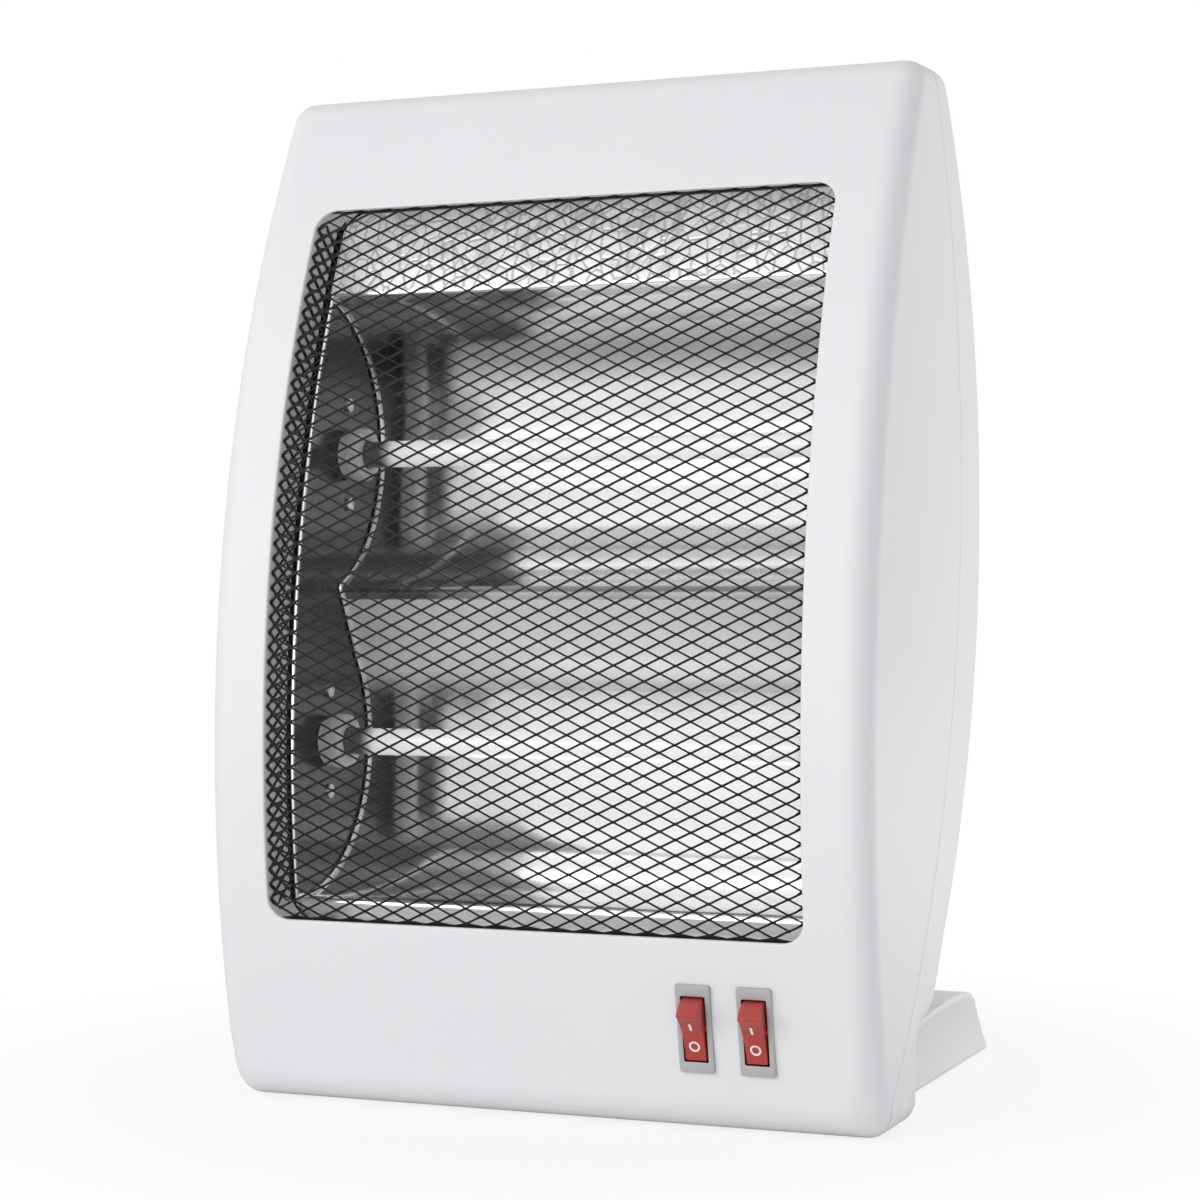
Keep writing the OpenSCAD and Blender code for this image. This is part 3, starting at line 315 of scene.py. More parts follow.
NODE_FINISH = {
    "clip_upper_left": STEEL, "clip_upper_right": STEEL, "clip_lower_left": STEEL,
    "clip_lower_right": STEEL, "clip_rivets": STEEL, "tube_terminals": BRASS,
    "reflector_screws": STEEL, "case_screws": STEEL, "switch_tabs": BRASS,
    "tip_switch": DARK, "tip_plunger": DARK, "tip_spring": STEEL,
    "tip_switch_screws": STEEL, "thermal_cutout": TAN, "terminal_block": IVORY,
    "cord_inlet": RUBBER, "upper_coil": WIRE_METAL, "lower_coil": WIRE_METAL,
    "live_lead": BROWN, "cutout_lead_in": BROWN, "cutout_lead_out": BROWN,
    "switch_link": BROWN, "upper_tube_lead": CRIMSON, "lower_tube_lead": CRIMSON,
    "neutral_lead": BLUE, "neutral_link": BLUE}
for node, finish in NODE_FINISH.items():
    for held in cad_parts[node].material_slots:
        held.material = finish


# ---- Meshes ----

def piece(name, points, faces, finish, slot, body="case", stands_for=(), normals=None):
    """A mesh piece that rides on a body; points are in millimetres."""
    mesh = bpy.data.meshes.new(name)
    mesh.from_pydata((np.asarray(points) * MM).tolist(), [], [list(map(int, f)) for f in faces])
    mesh.validate()
    mesh.polygons.foreach_set("use_smooth", [True] * len(mesh.polygons))
    if normals is None:
        mesh.set_sharp_from_angle(angle=math.radians(32))
    else:
        mesh.normals_split_custom_set_from_vertices(np.asarray(normals).tolist())
    made = bpy.data.objects.new(name, mesh)
    bpy.context.collection.objects.link(made)
    mesh.materials.append(finish)
    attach(made, body)
    if stands_for:
        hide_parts(*stands_for)
    return made


def swept(sections, ring=True, capped=True, closed=False):
    """Faces of a skin over a list of sections with the same number of points."""
    sections = np.asarray(sections)
    n, m = sections.shape[:2]
    faces = []
    for i in range(n if closed else n - 1):
        for k in range(m if ring else m - 1):
            a, b = i * m + k, i * m + (k + 1) % m
            c, d = ((i + 1) % n) * m + (k + 1) % m, ((i + 1) % n) * m + k
            faces.append((a, b, c, d))
    if capped and ring and not closed:
        faces.append(tuple(range(m - 1, -1, -1)))
        faces.append(tuple((n - 1) * m + k for k in range(m)))
    return sections.reshape(-1, 3), faces


def joined(parts):
    """Several (points, faces) as one."""
    points, faces, base = [], [], 0
    for p, f in parts:
        points.append(np.asarray(p))
        faces += [tuple(base + i for i in face) for face in f]
        base += len(p)
    return np.concatenate(points), faces


def lathe_x(profile, axis, n=64):
    """Turned about a line along X: profile is (x, r) pairs from the axis back to the axis."""
    y0, z0 = axis
    t = np.linspace(0, 2 * np.pi, n, endpoint=False)
    return swept([[(x, y0 + r * math.cos(a), z0 + r * math.sin(a)) for a in t]
                  for x, r in profile], closed=True)


def front_y(z, d=0.0):
    return FRONT[0] - np.sqrt((FRONT[2] - d) ** 2 - (np.asarray(z, float) - FRONT[1]) ** 2)


def rear_y(z, d=0.0):
    return REAR[0] + np.sqrt((REAR[2] - d) ** 2 - (np.asarray(z, float) - REAR[1]) ** 2)


def smooth(t, a, b):
    u = np.clip((t - a) / (b - a), 0, 1)
    return u * u * (3 - 2 * u)


# ---- The case as one field: negative inside, in millimetres ----

def disc(y, z, c):
    return np.hypot(y - c[0], z - c[1]) - c[2]


def unit(v):
    v = np.asarray(v, float)
    return v / np.linalg.norm(v)


def corner(y, z, c, n1, n2, r):
    """Distance to a rounded corner inside the wedge between n1 and n2 about c."""
    det = n1[0] * n2[1] - n1[1] * n2[0]
    py, pz = y - c[0], z - c[1]
    a = (py * n2[1] - pz * n2[0]) / det
    b = (n1[0] * pz - n1[1] * py) / det
    return np.where((a > 0) & (b > 0), np.hypot(py, pz) - r, -1e3)


def meet(a, b, r):
    """Intersection with a rounded edge of radius r."""
    past = np.hypot(np.maximum(r + a, 0), np.maximum(r + b, 0))
    return np.minimum(-r, np.maximum(a, b)) + past


def merge(a, b, k):
    """Union with a fillet about k wide."""
    k = np.maximum(k, 1e-3)
    h = np.maximum(k - np.abs(a - b), 0) / k
    return np.minimum(a, b) - h * h * k / 4


TOP_R, LOW_R, BASE_R = 12.0, 16.0, 20.0
BASE_BACK, BASE_H = -46.0, 40.0
FOOT_ARC, FOOT_END = (6.0, -141.0, 177.0), 111.6
FOOT_INNER_X = 78.0
C_TOP_F = (float(front_y(CASE_H - TOP_R, TOP_R)), CASE_H - TOP_R)
C_TOP_R = (float(rear_y(CASE_H - TOP_R, TOP_R)), CASE_H - TOP_R)
C_LOW = (float(front_y(LOW_R, LOW_R)), LOW_R)


def body_view(y, z):
    """Side view of the leaf and the base."""
    leaf = np.maximum(np.maximum(disc(y, z, FRONT), disc(y, z, REAR)),
                      np.maximum(z - CASE_H, -z))
    for c, n1, n2, r in (
            (C_TOP_F, unit((C_TOP_F[0] - FRONT[0], C_TOP_F[1] - FRONT[1])), (0, 1), TOP_R),
            (C_TOP_R, unit((C_TOP_R[0] - REAR[0], C_TOP_R[1] - REAR[1])), (0, 1), TOP_R),
            (C_LOW, unit((C_LOW[0] - FRONT[0], C_LOW[1] - FRONT[1])), (0, -1), LOW_R)):
        leaf = np.maximum(leaf, corner(y, z, c, n1, n2, r))
    base = np.maximum(np.maximum(C_LOW[0] - y, y - BASE_BACK), np.maximum(z - BASE_H, -z))
    base = np.maximum(base, corner(y, z, (BASE_BACK - BASE_R, BASE_R), (1, 0), (0, -1), BASE_R))
    return merge(leaf, base, 3 * np.clip((z - 12) / 6, 0, 1))


def foot_view(y, z):
    """Side view of a foot, its heel inside the base."""
    return np.maximum(meet(disc(y, z, FOOT_ARC), y - FOOT_END, 3.0), np.maximum(-z, -61 - y))


def side_x(z):
    """Half width of the foot's flared outer side."""
    z = np.clip(z, 0, 49.9)
    return merge(159 - np.sqrt(2500 - z * z), HALF_W, 5.0)


def case_field(x, y, z):
    """Body and feet: r is the rounding of the edges between the sides and the rest."""
    ax = np.abs(x)
    s_body, s_foot = body_view(y, z), foot_view(y, z)
    flared = smooth(y, -56, -34) * (1 - smooth(z, 40, 64))
    width = HALF_W * (1 - flared) + side_x(z) * flared
    r = 6 + 4 * smooth(-y, 20, 60)
    low = 1 - smooth(z, 4, 26)
    r = r * (1 - low) + (9.0 + 9.5 * smooth(-y, 84, 103)) * low
    r = r * (1 - flared) + 3.0 * flared
    both = merge(s_body, s_foot, 3 * np.clip((z - 8) / 8, 0, 1))
    outer = meet(meet(both, ax - width, r), FOOT_INNER_X - ax, 3.0)
    inner = meet(s_body, ax - width, r)
    k = 3 * np.clip((94 - ax) / 8, 0, 1) * np.clip(1 - s_foot / 6, 0, 1)
    return merge(outer, inner, k)


# ---- Skins from the field ----

def gradient(f, p, e=0.02):
    g = np.empty_like(p)
    for i in range(3):
        d = np.zeros(3)
        d[i] = e
        g[:, i] = (f(*(p + d).T) - f(*(p - d).T)) / (2 * e)
    return g


def onto(f, p, g=None, steps=4):
    """Moves points onto f = 0 and, where g is given, along that surface onto g = 0."""
    for _ in range(steps):
        n = gradient(f, p)
        p = p - (f(*p.T) / np.maximum((n * n).sum(1), 1e-6))[:, None] * n
        if g is not None:
            n /= np.maximum(np.linalg.norm(n, axis=1), 1e-6)[:, None]
            t = gradient(g, p)
            t -= (t * n).sum(1)[:, None] * n
            size = np.maximum((t * t).sum(1), 1e-3)
            p = p - np.clip(g(*p.T) / size, -2, 2)[:, None] * t
    return p


def net(f, low, high, h):
    """A quad skin over f = 0, one point for each cell that the surface crosses."""
    axes = [np.arange(a, b + h, h) for a, b in zip(low, high)]
    value = f(*np.meshgrid(*axes, indexing="ij"))
    size = np.array(value.shape)
    stride = np.array([size[1] * size[2], size[2], 1])
    total, count, quads = np.zeros((size.prod(), 3)), np.zeros(size.prod()), []
    for a in range(3):
        b, c = (a + 1) % 3, (a + 2) % 3
        start, end = [slice(None)] * 3, [slice(None)] * 3
        start[a], end[a] = slice(0, -1), slice(1, None)
        v0, v1 = value[tuple(start)], value[tuple(end)]
        crossed = (v0 < 0) != (v1 < 0)
        edge = np.argwhere(crossed)
        v0, v1 = v0[crossed], v1[crossed]
        at = edge.astype(float)
        at[:, a] += v0 / (v0 - v1)
        cells = []
        for db, dc in ((0, 0), (1, 0), (1, 1), (0, 1)):
            q = edge.copy()
            q[:, b] -= db
            q[:, c] -= dc
            cell = q @ stride
            cells.append(cell)
            count += np.bincount(cell, minlength=len(count))
            for i in range(3):
                total[:, i] += np.bincount(cell, at[:, i], minlength=len(count))
        four = np.stack(cells, 1)
        four[v0 >= 0] = four[v0 >= 0][:, ::-1]
        quads.append(four)
    used = np.flatnonzero(count)
    number = np.zeros(len(count), int)
    number[used] = np.arange(len(used))
    quads = number[np.concatenate(quads)]
    points = np.array(low) + total[used] / count[used][:, None] * h
    for _ in range(3):
        points = onto(f, relaxed(points, quads), steps=2)
    return onto(f, points), quads


def relaxed(points, quads):
    """Each point at the middle of its neighbours."""
    a = quads.reshape(-1)
    b = np.roll(quads, -1, axis=1).reshape(-1)
    both, other = np.concatenate([a, b]), np.concatenate([b, a])
    n = np.bincount(both, minlength=len(points))
    return np.stack([np.bincount(both, points[other, i], minlength=len(points)) / n
                     for i in range(3)], 1)


def clipped(f, skin, g, mark, h):
    """Keeps the part of a triangle skin on f = 0 where g < 0; its new edge carries mark."""
    points, faces, marks = skin
    v = g(*points.T)
    near = np.abs(v) < 0.25 * h
    points = points.copy()
    points[near] = onto(f, points[near], g)
    v[near] = 0
    marks = np.where(near, mark, marks)
    fv = v[faces]
    middle = g(*points[faces].mean(1).T)
    whole = (fv.max(1) <= 0) & ((fv.min(1) < 0) | (middle < 0))
    cut = (fv.min(1) < 0) & (fv.max(1) > 0)
    made, extra, new = {}, [], []

    def crossing(a, b):
        key = (min(a, b), max(a, b))
        if key not in made:
            made[key] = len(points) + len(extra)
            t = v[a] / (v[a] - v[b])
            extra.append(points[a] * (1 - t) + points[b] * t)
        return made[key]

    for face in faces[cut]:
        poly = []
        for i in range(3):
            a, b = face[i], face[(i + 1) % 3]
            if v[a] <= 0:
                poly.append(a)
            if v[a] * v[b] < 0:
                poly.append(crossing(a, b))
        for i in range(1, len(poly) - 1):
            new.append((poly[0], poly[i], poly[i + 1]))
    extra = onto(f, np.array(extra), g) if extra else np.zeros((0, 3))
    points = np.concatenate([points, extra])
    marks = np.concatenate([marks, np.full(len(extra), mark)])
    faces = np.concatenate([faces[whole], np.array(new, int).reshape(-1, 3)])
    return points, faces, marks


def finished_shell(f, skin, rims, wall):
    """Gives a clipped skin its rolled edges, its inner side and smooth normals.
    rims: mark -> (g, profile of (out, down, tilt in degrees), fixed direction or None)."""
    points, faces, marks = skin
    used, inverse = np.unique(faces, return_inverse=True)
    points, marks, faces = points[used], marks[used], inverse.reshape(-1, 3)
    n = gradient(f, points)
    n /= np.linalg.norm(n, axis=1)[:, None]
    count = len(points)
    all_points = [points, points - wall * n]
    all_normals = [n, -n]
    all_faces = [faces, faces[:, ::-1] + count]
    total = 2 * count
    a = faces.reshape(-1)
    b = np.roll(faces, -1, axis=1).reshape(-1)
    forward = a * count + b
    open_edge = ~np.isin(forward, b * count + a)
    a, b = a[open_edge], b[open_edge]
    quads = []
    for mark, (g, profile, fixed) in rims.items():
        mine = (marks[a] == mark) & (marks[b] == mark)
        ea, eb = a[mine], b[mine]
        ids = np.unique(np.concatenate([ea, eb]))
        if not len(ids):
            continue
        t = gradient(g, points[ids])
        t -= (t * n[ids]).sum(1)[:, None] * n[ids]
        t /= np.maximum(np.linalg.norm(t, axis=1), 1e-6)[:, None]
        drop = -n[ids] if fixed is None else np.tile(np.array(fixed, float), (len(ids), 1))
        where = np.zeros(count, int)
        where[ids] = np.arange(len(ids))
        last_a, last_b = ea, eb
        for out, down, tilt in profile:
            c, s = math.cos(math.radians(tilt)), math.sin(math.radians(tilt))
            all_points.append(points[ids] + t * out + drop * down)
            all_normals.append(n[ids] * c + t * s)
            now_a, now_b = total + where[ea], total + where[eb]
            quads.append(np.stack([last_b, last_a, now_a, now_b], 1))
            last_a, last_b = now_a, now_b
            total += len(ids)
        quads.append(np.stack([last_b, last_a, ea + count, eb + count], 1))
    normals = np.concatenate(all_normals)
    normals /= np.maximum(np.linalg.norm(normals, axis=1), 1e-6)[:, None]
    points = np.concatenate(all_points)
    points[:, 2] = np.maximum(points[:, 2], 0.0)
    tris = np.concatenate(all_faces).tolist()
    return points, tris + np.concatenate(quads).tolist(), normals


def rolled(r, depth):
    """Profile of an edge rolled over with radius r, then straight down to depth."""
    steps = [(r * math.sin(a), r * (1 - math.cos(a)), math.degrees(a))
             for a in np.linspace(0.3, math.pi / 2, 4)]
    return steps + [(r, depth, 90.0)]


def parting_line(side, r):
    """Negative on one side of the parting line, the edge set back for its rolled rim;
    near the floor the line drops straight down and runs under the case."""
    return lambda x, y, z: -side * disc(y, np.maximum(z, 12.0), PARTING) + 0.2 + r


def rounded_box(x, z, half_w, low, high, r):
    """Signed distance in the front view to a rectangle with rounded corners."""
    dx = np.abs(x) - half_w + r
    dz = np.abs(z - (low + high) / 2) - (high - low) / 2 + r
    outside = np.hypot(np.maximum(dx, 0), np.maximum(dz, 0))
    return outside + np.minimum(np.maximum(dx, dz), 0) - r


# Cuts through the shells: positive inside the opening, ABSENT elsewhere on the case.
ABSENT = -20.0


def window_edge(x, y, z):
    return np.where(y < -40, WINDOW_ROLL - rounded_box(x, z, *WINDOW), ABSENT)


def switch_hole(x, y, z):
    """The two cut-outs behind the switch frames."""
    a = -math.asin((SWITCH_Z - FRONT[1]) / FRONT[2])
    up = (np.asarray(z) - FRONT[1] + FRONT[2] * math.sin(a)) / math.cos(a)
    boxes = [rounded_box(x - at, up, 5.3, -14.2, 14.2, 0.5) for at in SWITCH_X]
    return -np.minimum(*boxes) - 100.0 * (np.asarray(y) > -60)


VENT_L, VENT_H, VENT_X = 70.0, 4.0, 43.0
VENT_Z = [235 + 9 * i for i in range(9)] + [105 + 9 * i for i in range(5)]
SCREW_AT = [(-92, 346), (92, 346), (-32, 24), (32, 24)]
INLET_Z = 58.0


def arc_at(z):
    return REAR[2] * np.arcsin(np.clip((z - REAR[1]) / REAR[2], -1, 1))


def rear_only(value, x, y, z):
    """The value on the arched back, ABSENT elsewhere."""
    on_back = np.abs(disc(y, z, REAR)) < 1.5
    return np.where(on_back & (np.abs(x) < 112), value, ABSENT)


def vents(x, y, z):
    run = arc_at(z)
    rows = arc_at(np.array(VENT_Z, float))
    up = np.abs(run[..., None] - rows).min(-1)
    across = np.maximum(np.abs(np.abs(x) - VENT_X) - (VENT_L - VENT_H) / 2, 0)
    return rear_only(VENT_H / 2 + 0.4 - np.hypot(across, up), x, y, z)


def screw_wells(x, y, z):
    d = np.min([np.hypot(x - a, z - b) for a, b in SCREW_AT], axis=0)
    return np.where(y > -60, 4.5 - d, ABSENT)


def inlet_hole(x, y, z):
    d = np.hypot(x, arc_at(z) - float(arc_at(np.array(INLET_Z))))
    return rear_only(6.4 - d, x, y, z)


def plunger_hole(x, y, z):
    return np.where(z < 2, 5.0 - np.hypot(x, y + 70), ABSENT)


def triangles(points, quads):
    """Each quad cut along its shorter diagonal."""
    one = np.linalg.norm(points[quads[:, 0]] - points[quads[:, 2]], axis=1)
    two = np.linalg.norm(points[quads[:, 1]] - points[quads[:, 3]], axis=1)
    s, t = quads[one <= two], quads[one > two]
    return np.concatenate([s[:, [0, 1, 2]], s[:, [0, 2, 3]], t[:, [0, 1, 3]], t[:, [1, 2, 3]]])


def shell(name, node, skin, rims, h):
    """One shell: the skin cut along each rim in turn, then given its edges and its wall."""
    for mark, (edge, _, _) in rims.items():
        skin = clipped(case_field, skin, edge, mark, h)
    p, f, n = finished_shell(case_field, skin, rims, WALL)
    piece(name, p, f, CASE, "case_white", stands_for=[node], normals=n)


def build_case():
    h = 2.2
    points, quads = net(case_field, (-127.3, -114.2, -3.1), (127.3, 114.6, 373.4), h)
    skin = (points, triangles(points, quads), np.full(len(points), -1))
    window_return = [(-2.6, 23.5, 82.0), (-4.6, 23.5, 180.0)]
    shell("front_case", "front_shell", skin, {
        1: (parting_line(-1, PART_ROLL), rolled(PART_ROLL, WALL), None),
        2: (window_edge, rolled(WINDOW_ROLL, 1.5) + window_return, (0, 1, 0)),
        3: (switch_hole, [(0.01, 0.3, 90.0), (0.01, 2.0, 90.0)], None)}, h)
    shell("rear_case", "rear_shell", skin, {
        1: (parting_line(1, PART_ROLL), rolled(PART_ROLL, WALL), None),
        2: (vents, rolled(0.4, WALL), None),
        3: (screw_wells, rolled(0.5, 12.0), (0, -1, 0)),
        4: (inlet_hole, rolled(0.4, WALL), None),
        5: (plunger_hole, rolled(0.5, 2.4), (0, 0, 1))}, h)


build_case()


# ---- The mesh guard ----

PAN_W, PAN_H, PAN_Z = 99.6, 128.35, 195.75
PAN_FRONT, PAN_DEPTH, FOLD_R, LEAN = 0.6, 25.6, 1.2, 0.170
LONG, SHORT, BOND = 11.2, 5.3, 0.9
STRAND_WIDE, STRAND_NARROW, STRAND_THICK = 0.39, 0.29, 0.42


def folded(s, edge):
    """Place along the sheet, depth and outward tilt of a strip folded back at edge."""
    flat = edge - FOLD_R
    bent = s - flat
    angle = np.clip(bent / FOLD_R, 0, math.pi / 2)
    past = np.maximum(bent - FOLD_R * math.pi / 2, 0)
    at = np.where(bent < 0, s, flat + FOLD_R * np.sin(angle))
    return at, FOLD_R * (1 - np.cos(angle)) + past, angle


def on_pan(u, v, lift):
    """A point of the unfolded guard sheet, raised by lift, as a point of the folded pan,
    whose folded sides lean out a little."""
    px, du, au = folded(np.abs(u), PAN_W)
    pz, dv, av = folded(np.abs(v), PAN_H)
    x = np.sign(u) * (px + lift * np.sin(au) + LEAN * np.maximum(du - FOLD_R, 0))
    z = PAN_Z + np.sign(v) * (pz + lift * np.sin(av) + LEAN * np.maximum(dv - FOLD_R, 0))
    depth = PAN_FRONT + np.maximum(du, dv) - lift * np.cos(np.maximum(au, av))
    return np.stack([x, front_y(z, depth), z], -1)


def strand_rows():
    """Zigzag strands of the expanded sheet; neighbours touch at their bonds."""
    reach_u = PAN_W + PAN_DEPTH - PAN_FRONT - FOLD_R * (2 - math.pi / 2)
    reach_v = PAN_H + PAN_DEPTH - PAN_FRONT - FOLD_R * (2 - math.pi / 2)
    rise = SHORT / 2
    rows = int(reach_v // rise)
    parts = []
    for j in range(-rows, rows):
        base = j * rise + 0.18
        flip = j % 2
        limit = reach_u if abs(base + rise / 2) < PAN_H - FOLD_R - rise else PAN_W - 0.6
        knots = []
        k0 = int(limit / (LONG / 2)) + 1
        for k in range(-k0, k0 + 1):
            u = k * LONG / 2
            high = (k + flip) % 2
            level = base + (rise - 0.36 if high else 0.0)
            for side in (-1, 1):
                rising = (side > 0) != bool(high)
                knots.append((u + side * BOND / 2, level,
                              STRAND_WIDE if rising else STRAND_NARROW))
        knots = [k for k in knots if abs(k[0]) <= limit]
        dense = []
        for a, b in zip(knots, knots[1:]):
            dense.append(a)
            if abs(a[0]) > PAN_W - 8 and abs(b[0] - a[0]) > 2:
                dense.append(tuple((p + q) / 2 for p, q in zip(a, b)))
        dense.append(knots[-1])
        u, v, half = np.array(dense).T
        ring = [on_pan(u, v + a * half, lift * STRAND_THICK)
                for a, lift in ((1, 1), (-1, 1), (-1, -1), (1, -1))]
        parts.append(swept(np.stack(ring, 1)[:, ::-1]))
    return parts


def outline(half_w, half_h, r, zc, n=10):
    """Points and outward directions round a rounded rectangle in the front view."""
    spots, outs = [], []
    for cx, cz, a0 in ((1, 1, 0), (-1, 1, 90), (-1, -1, 180), (1, -1, 270)):
        for i in range(n + 1):
            a = math.radians(a0 + 90 * i / n)
            d = (math.cos(a), math.sin(a))
            spots.append((cx * (half_w - r) + r * d[0], zc + cz * (half_h - r) + r * d[1]))
            outs.append(d)
    longer_spots, longer_outs = [], []
    for i in range(len(spots)):
        p, q = np.array(spots[i]), np.array(spots[(i + 1) % len(spots)])
        steps = max(1, int(np.linalg.norm(q - p) // 9))
        for s in range(steps):
            longer_spots.append(p + (q - p) * s / steps)
            longer_outs.append(outs[i])
    return np.array(longer_spots), np.array(longer_outs)


def framed(profile, half_w, half_h, r, zc):
    """A bar swept round a window outline: profile is (grow, depth) pairs."""
    spots, outs = outline(half_w, half_h, r, zc)
    rings = []
    for spot, out in zip(spots, outs):
        ring = []
        for grow, depth in profile:
            x, z = spot + grow * out
            ring.append((x, float(front_y(z, depth)), z))
        rings.append(ring)
    return swept(rings, closed=True)


guard_rim = framed([(4.25, 25.2), (4.8, 25.2), (5.0, 25.4), (5.0, 25.8), (4.8, 26.0),
                    (4.25, 26.0), (4.15, 25.6)][::-1], PAN_W, PAN_H, 7.0, PAN_Z)
p, f = joined(strand_rows() + [guard_rim])
guard = piece("guard_mesh", p, f, ENAMEL, "guard_black", stands_for=["mesh_guard"])
guard.visible_glossy = False


# ---- Reflector and end plates ----

def arc(c, a0, a1, n):
    return [(c[0] + c[2] * math.cos(math.radians(a)), c[1] + c[2] * math.sin(math.radians(a)))
            for a in np.linspace(a0, a1, n)]


def eased(path, r, n=4):
    """A path with its sharp turns rounded by about r."""
    path = [np.array(p) for p in path]
    out = [path[0]]
    for a, b, c in zip(path, path[1:], path[2:]):
        u, v = unit(b - a), unit(c - b)
        if u @ v > math.cos(math.radians(12)):
            out.append(b)
            continue
        start = b - u * min(r, np.linalg.norm(b - a) * 0.45)
        end = b + v * min(r, np.linalg.norm(c - b) * 0.45)
        for t in np.linspace(0, 1, n + 1):
            out.append((1 - t) ** 2 * start + 2 * t * (1 - t) * b + t * t * end)
    out.append(path[-1])
    return np.array(out)


FLANGE = 26.05
TROUGH_PATH = eased(
    [(float(front_y(z, FLANGE)), z) for z in (327.5, 316.5, 305.5, 294.5)]
    + arc(UPPER_TROUGH, 68, -68, 48) + [RIDGE] + arc(LOWER_TROUGH, 36, -84, 48)
    + [(float(front_y(72.0, FLANGE)) + 0.4, 72.0), (float(front_y(63.0, FLANGE)), 63.0)], 1.6)


def path_normals(path):
    t = np.gradient(path, axis=0)
    n = np.stack([-t[:, 1], t[:, 0]], 1)
    return n / np.linalg.norm(n, axis=1)[:, None]


def trough_sheet(part):
    """A part of the polished sheet, a little wavy as rolled sheet is."""
    half, t = PLATE_X - 0.12, 0.8
    path, normal = TROUGH_PATH[part], path_normals(TROUGH_PATH)[part]
    xs = np.linspace(-half, half, 40)
    rows = []
    for x in xs:
        wave = 0.10 * np.sin(x * 0.11 + path[:, 1] * 0.045) * np.cos(x * 0.031 - 1.0)
        wave *= np.clip((half - abs(x)) / 20, 0, 1)
        front = path + normal * (0.10 + wave)[:, None]
        back = path + normal * t
        ring = np.concatenate([front, back[::-1]])
        rows.append(np.column_stack([np.full(len(ring), x), ring]))
    return swept(rows)


BEND = int(np.argmax(TROUGH_PATH[:, 1] < 296.0))
p, f = trough_sheet(slice(BEND, None))
piece("trough_reflector", p, f, TROUGH, "polished_aluminium", stands_for=["reflector"])
p, f = trough_sheet(slice(0, BEND + 1))
piece("top_flange", p, f, FLANGE_SHEET, "polished_aluminium")


def plate(side):
    """An end plate between its front flange and the curve of the troughs."""
    n = 72
    path, normal = TROUGH_PATH, path_normals(TROUGH_PATH)
    length = np.concatenate([[0], np.cumsum(np.linalg.norm(np.diff(path, axis=0), axis=1))])
    s = np.linspace(length[6], length[-4], n)
    rear = np.stack([np.interp(s, length, (path + 2.8 * normal)[:, i]) for i in (0, 1)], 1)
    z_front = np.linspace(327.1, 63.4, n)
    head = np.stack([front_y(z_front, FLANGE), z_front], 1)
    columns = np.linspace(0, 1, 9)
    x0, x1 = PLATE_X, PLATE_X + 0.8
    inner, outer = [], []
    for a, b in zip(head, rear):
        line = [a * (1 - c) + b * c for c in columns]
        inner.append([(side * x0, y, z) for y, z in line])
        outer.append([(side * x1, y, z) for y, z in line])
    rows = [np.concatenate([i, o[::-1]]) for i, o in zip(inner, outer)]
    if side > 0:
        rows = [r[::-1] for r in rows]
    sheet = swept(rows)
    lip = [[(side * (x0 + c), y + d, z) for c, d in
            ((0.0, 0.0), (12.3, 0.0), (12.3, 0.8), (0.8, 0.8))] for y, z in head]
    if side < 0:
        lip = [r[::-1] for r in lip]
    return joined([sheet, swept(lip)])


for side, name in ((-1, "left"), (1, "right")):
    p, f = plate(side)
    piece(f"{name}_end_plate", p, f, PLATE, "polished_aluminium",
          stands_for=[f"end_plate_{name}"])


def bead(path, x, r, n=8):
    """A thin round bead along a side-view path."""
    normal = path_normals(path)
    t = np.linspace(0, 2 * np.pi, n, endpoint=False)
    return swept([[(x + r * math.cos(a), *(q + m * r * math.sin(a))) for a in t]
                  for q, m in zip(path, normal)])


seam_path = TROUGH_PATH[5:-4] - 0.35 * path_normals(TROUGH_PATH)[5:-4]
p, f = joined([bead(seam_path, s * (PLATE_X - 0.8), 0.75) for s in (-1, 1)])
piece("seam_beads", p, f, EDGE, "polished_aluminium")
fold_z = np.linspace(325.5, 65.0, 60)
fold_path = np.stack([front_y(fold_z, FLANGE + 0.85), fold_z], 1)
p, f = joined([bead(fold_path, s * (PLATE_X - 0.75), 0.8) for s in (-1, 1)])
piece("plate_folds", p, f, EDGE, "polished_aluminium")


# ---- Tubes, caps and rivets ----

for name, axis in (("upper", UPPER_AXIS), ("lower", LOWER_AXIS)):
    end = PLATE_X
    p, f = lathe_x([(-end, 4.1), (-end + 0.1, 4.5), (-end + 0.5, 4.9), (-end + 1.2, 5.0),
                    *[(x, 5.0) for x in np.linspace(-95, 95, 21)],
                    (end - 1.2, 5.0), (end - 0.5, 4.9), (end - 0.1, 4.5), (end, 4.1),
                    (end, 3.8), (-end, 3.8)], axis, 48)
    piece(f"{name}_quartz", p, f, QUARTZ, "quartz", stands_for=[f"{name}_tube"])
    for side, word in ((-1, "left"), (1, "right")):
        inner = PLATE_X - 9.0
        outline_x = [(inner + 0.9, 5.15), (inner + 0.25, 5.5), (inner, 6.2), (inner, 8.6),
                     (inner + 0.25, 9.4), (inner + 0.9, 9.85), (inner + 1.6, 10.0),
                     (inner + 5.2, 10.0), (inner + 5.6, 9.9), (inner + 5.9, 9.5),
                     (inner + 6.2, 9.35), (PLATE_X - 0.4, 9.35), (PLATE_X - 0.05, 9.1),
                     (PLATE_X - 0.05, 7.0), (PLATE_X + 8.4, 7.0), (PLATE_X + 8.8, 6.6),
                     (PLATE_X + 8.8, 1.25), (PLATE_X, 1.25), (PLATE_X, 5.15)]
        profile = [(side * x, r) for x, r in outline_x]
        p, f = lathe_x(profile if side < 0 else profile[::-1], axis, 56)
        piece(f"{name}_{word}_cap", p, f, CERAMIC, "ceramic",
              stands_for=[f"cap_{name}_{word}"])

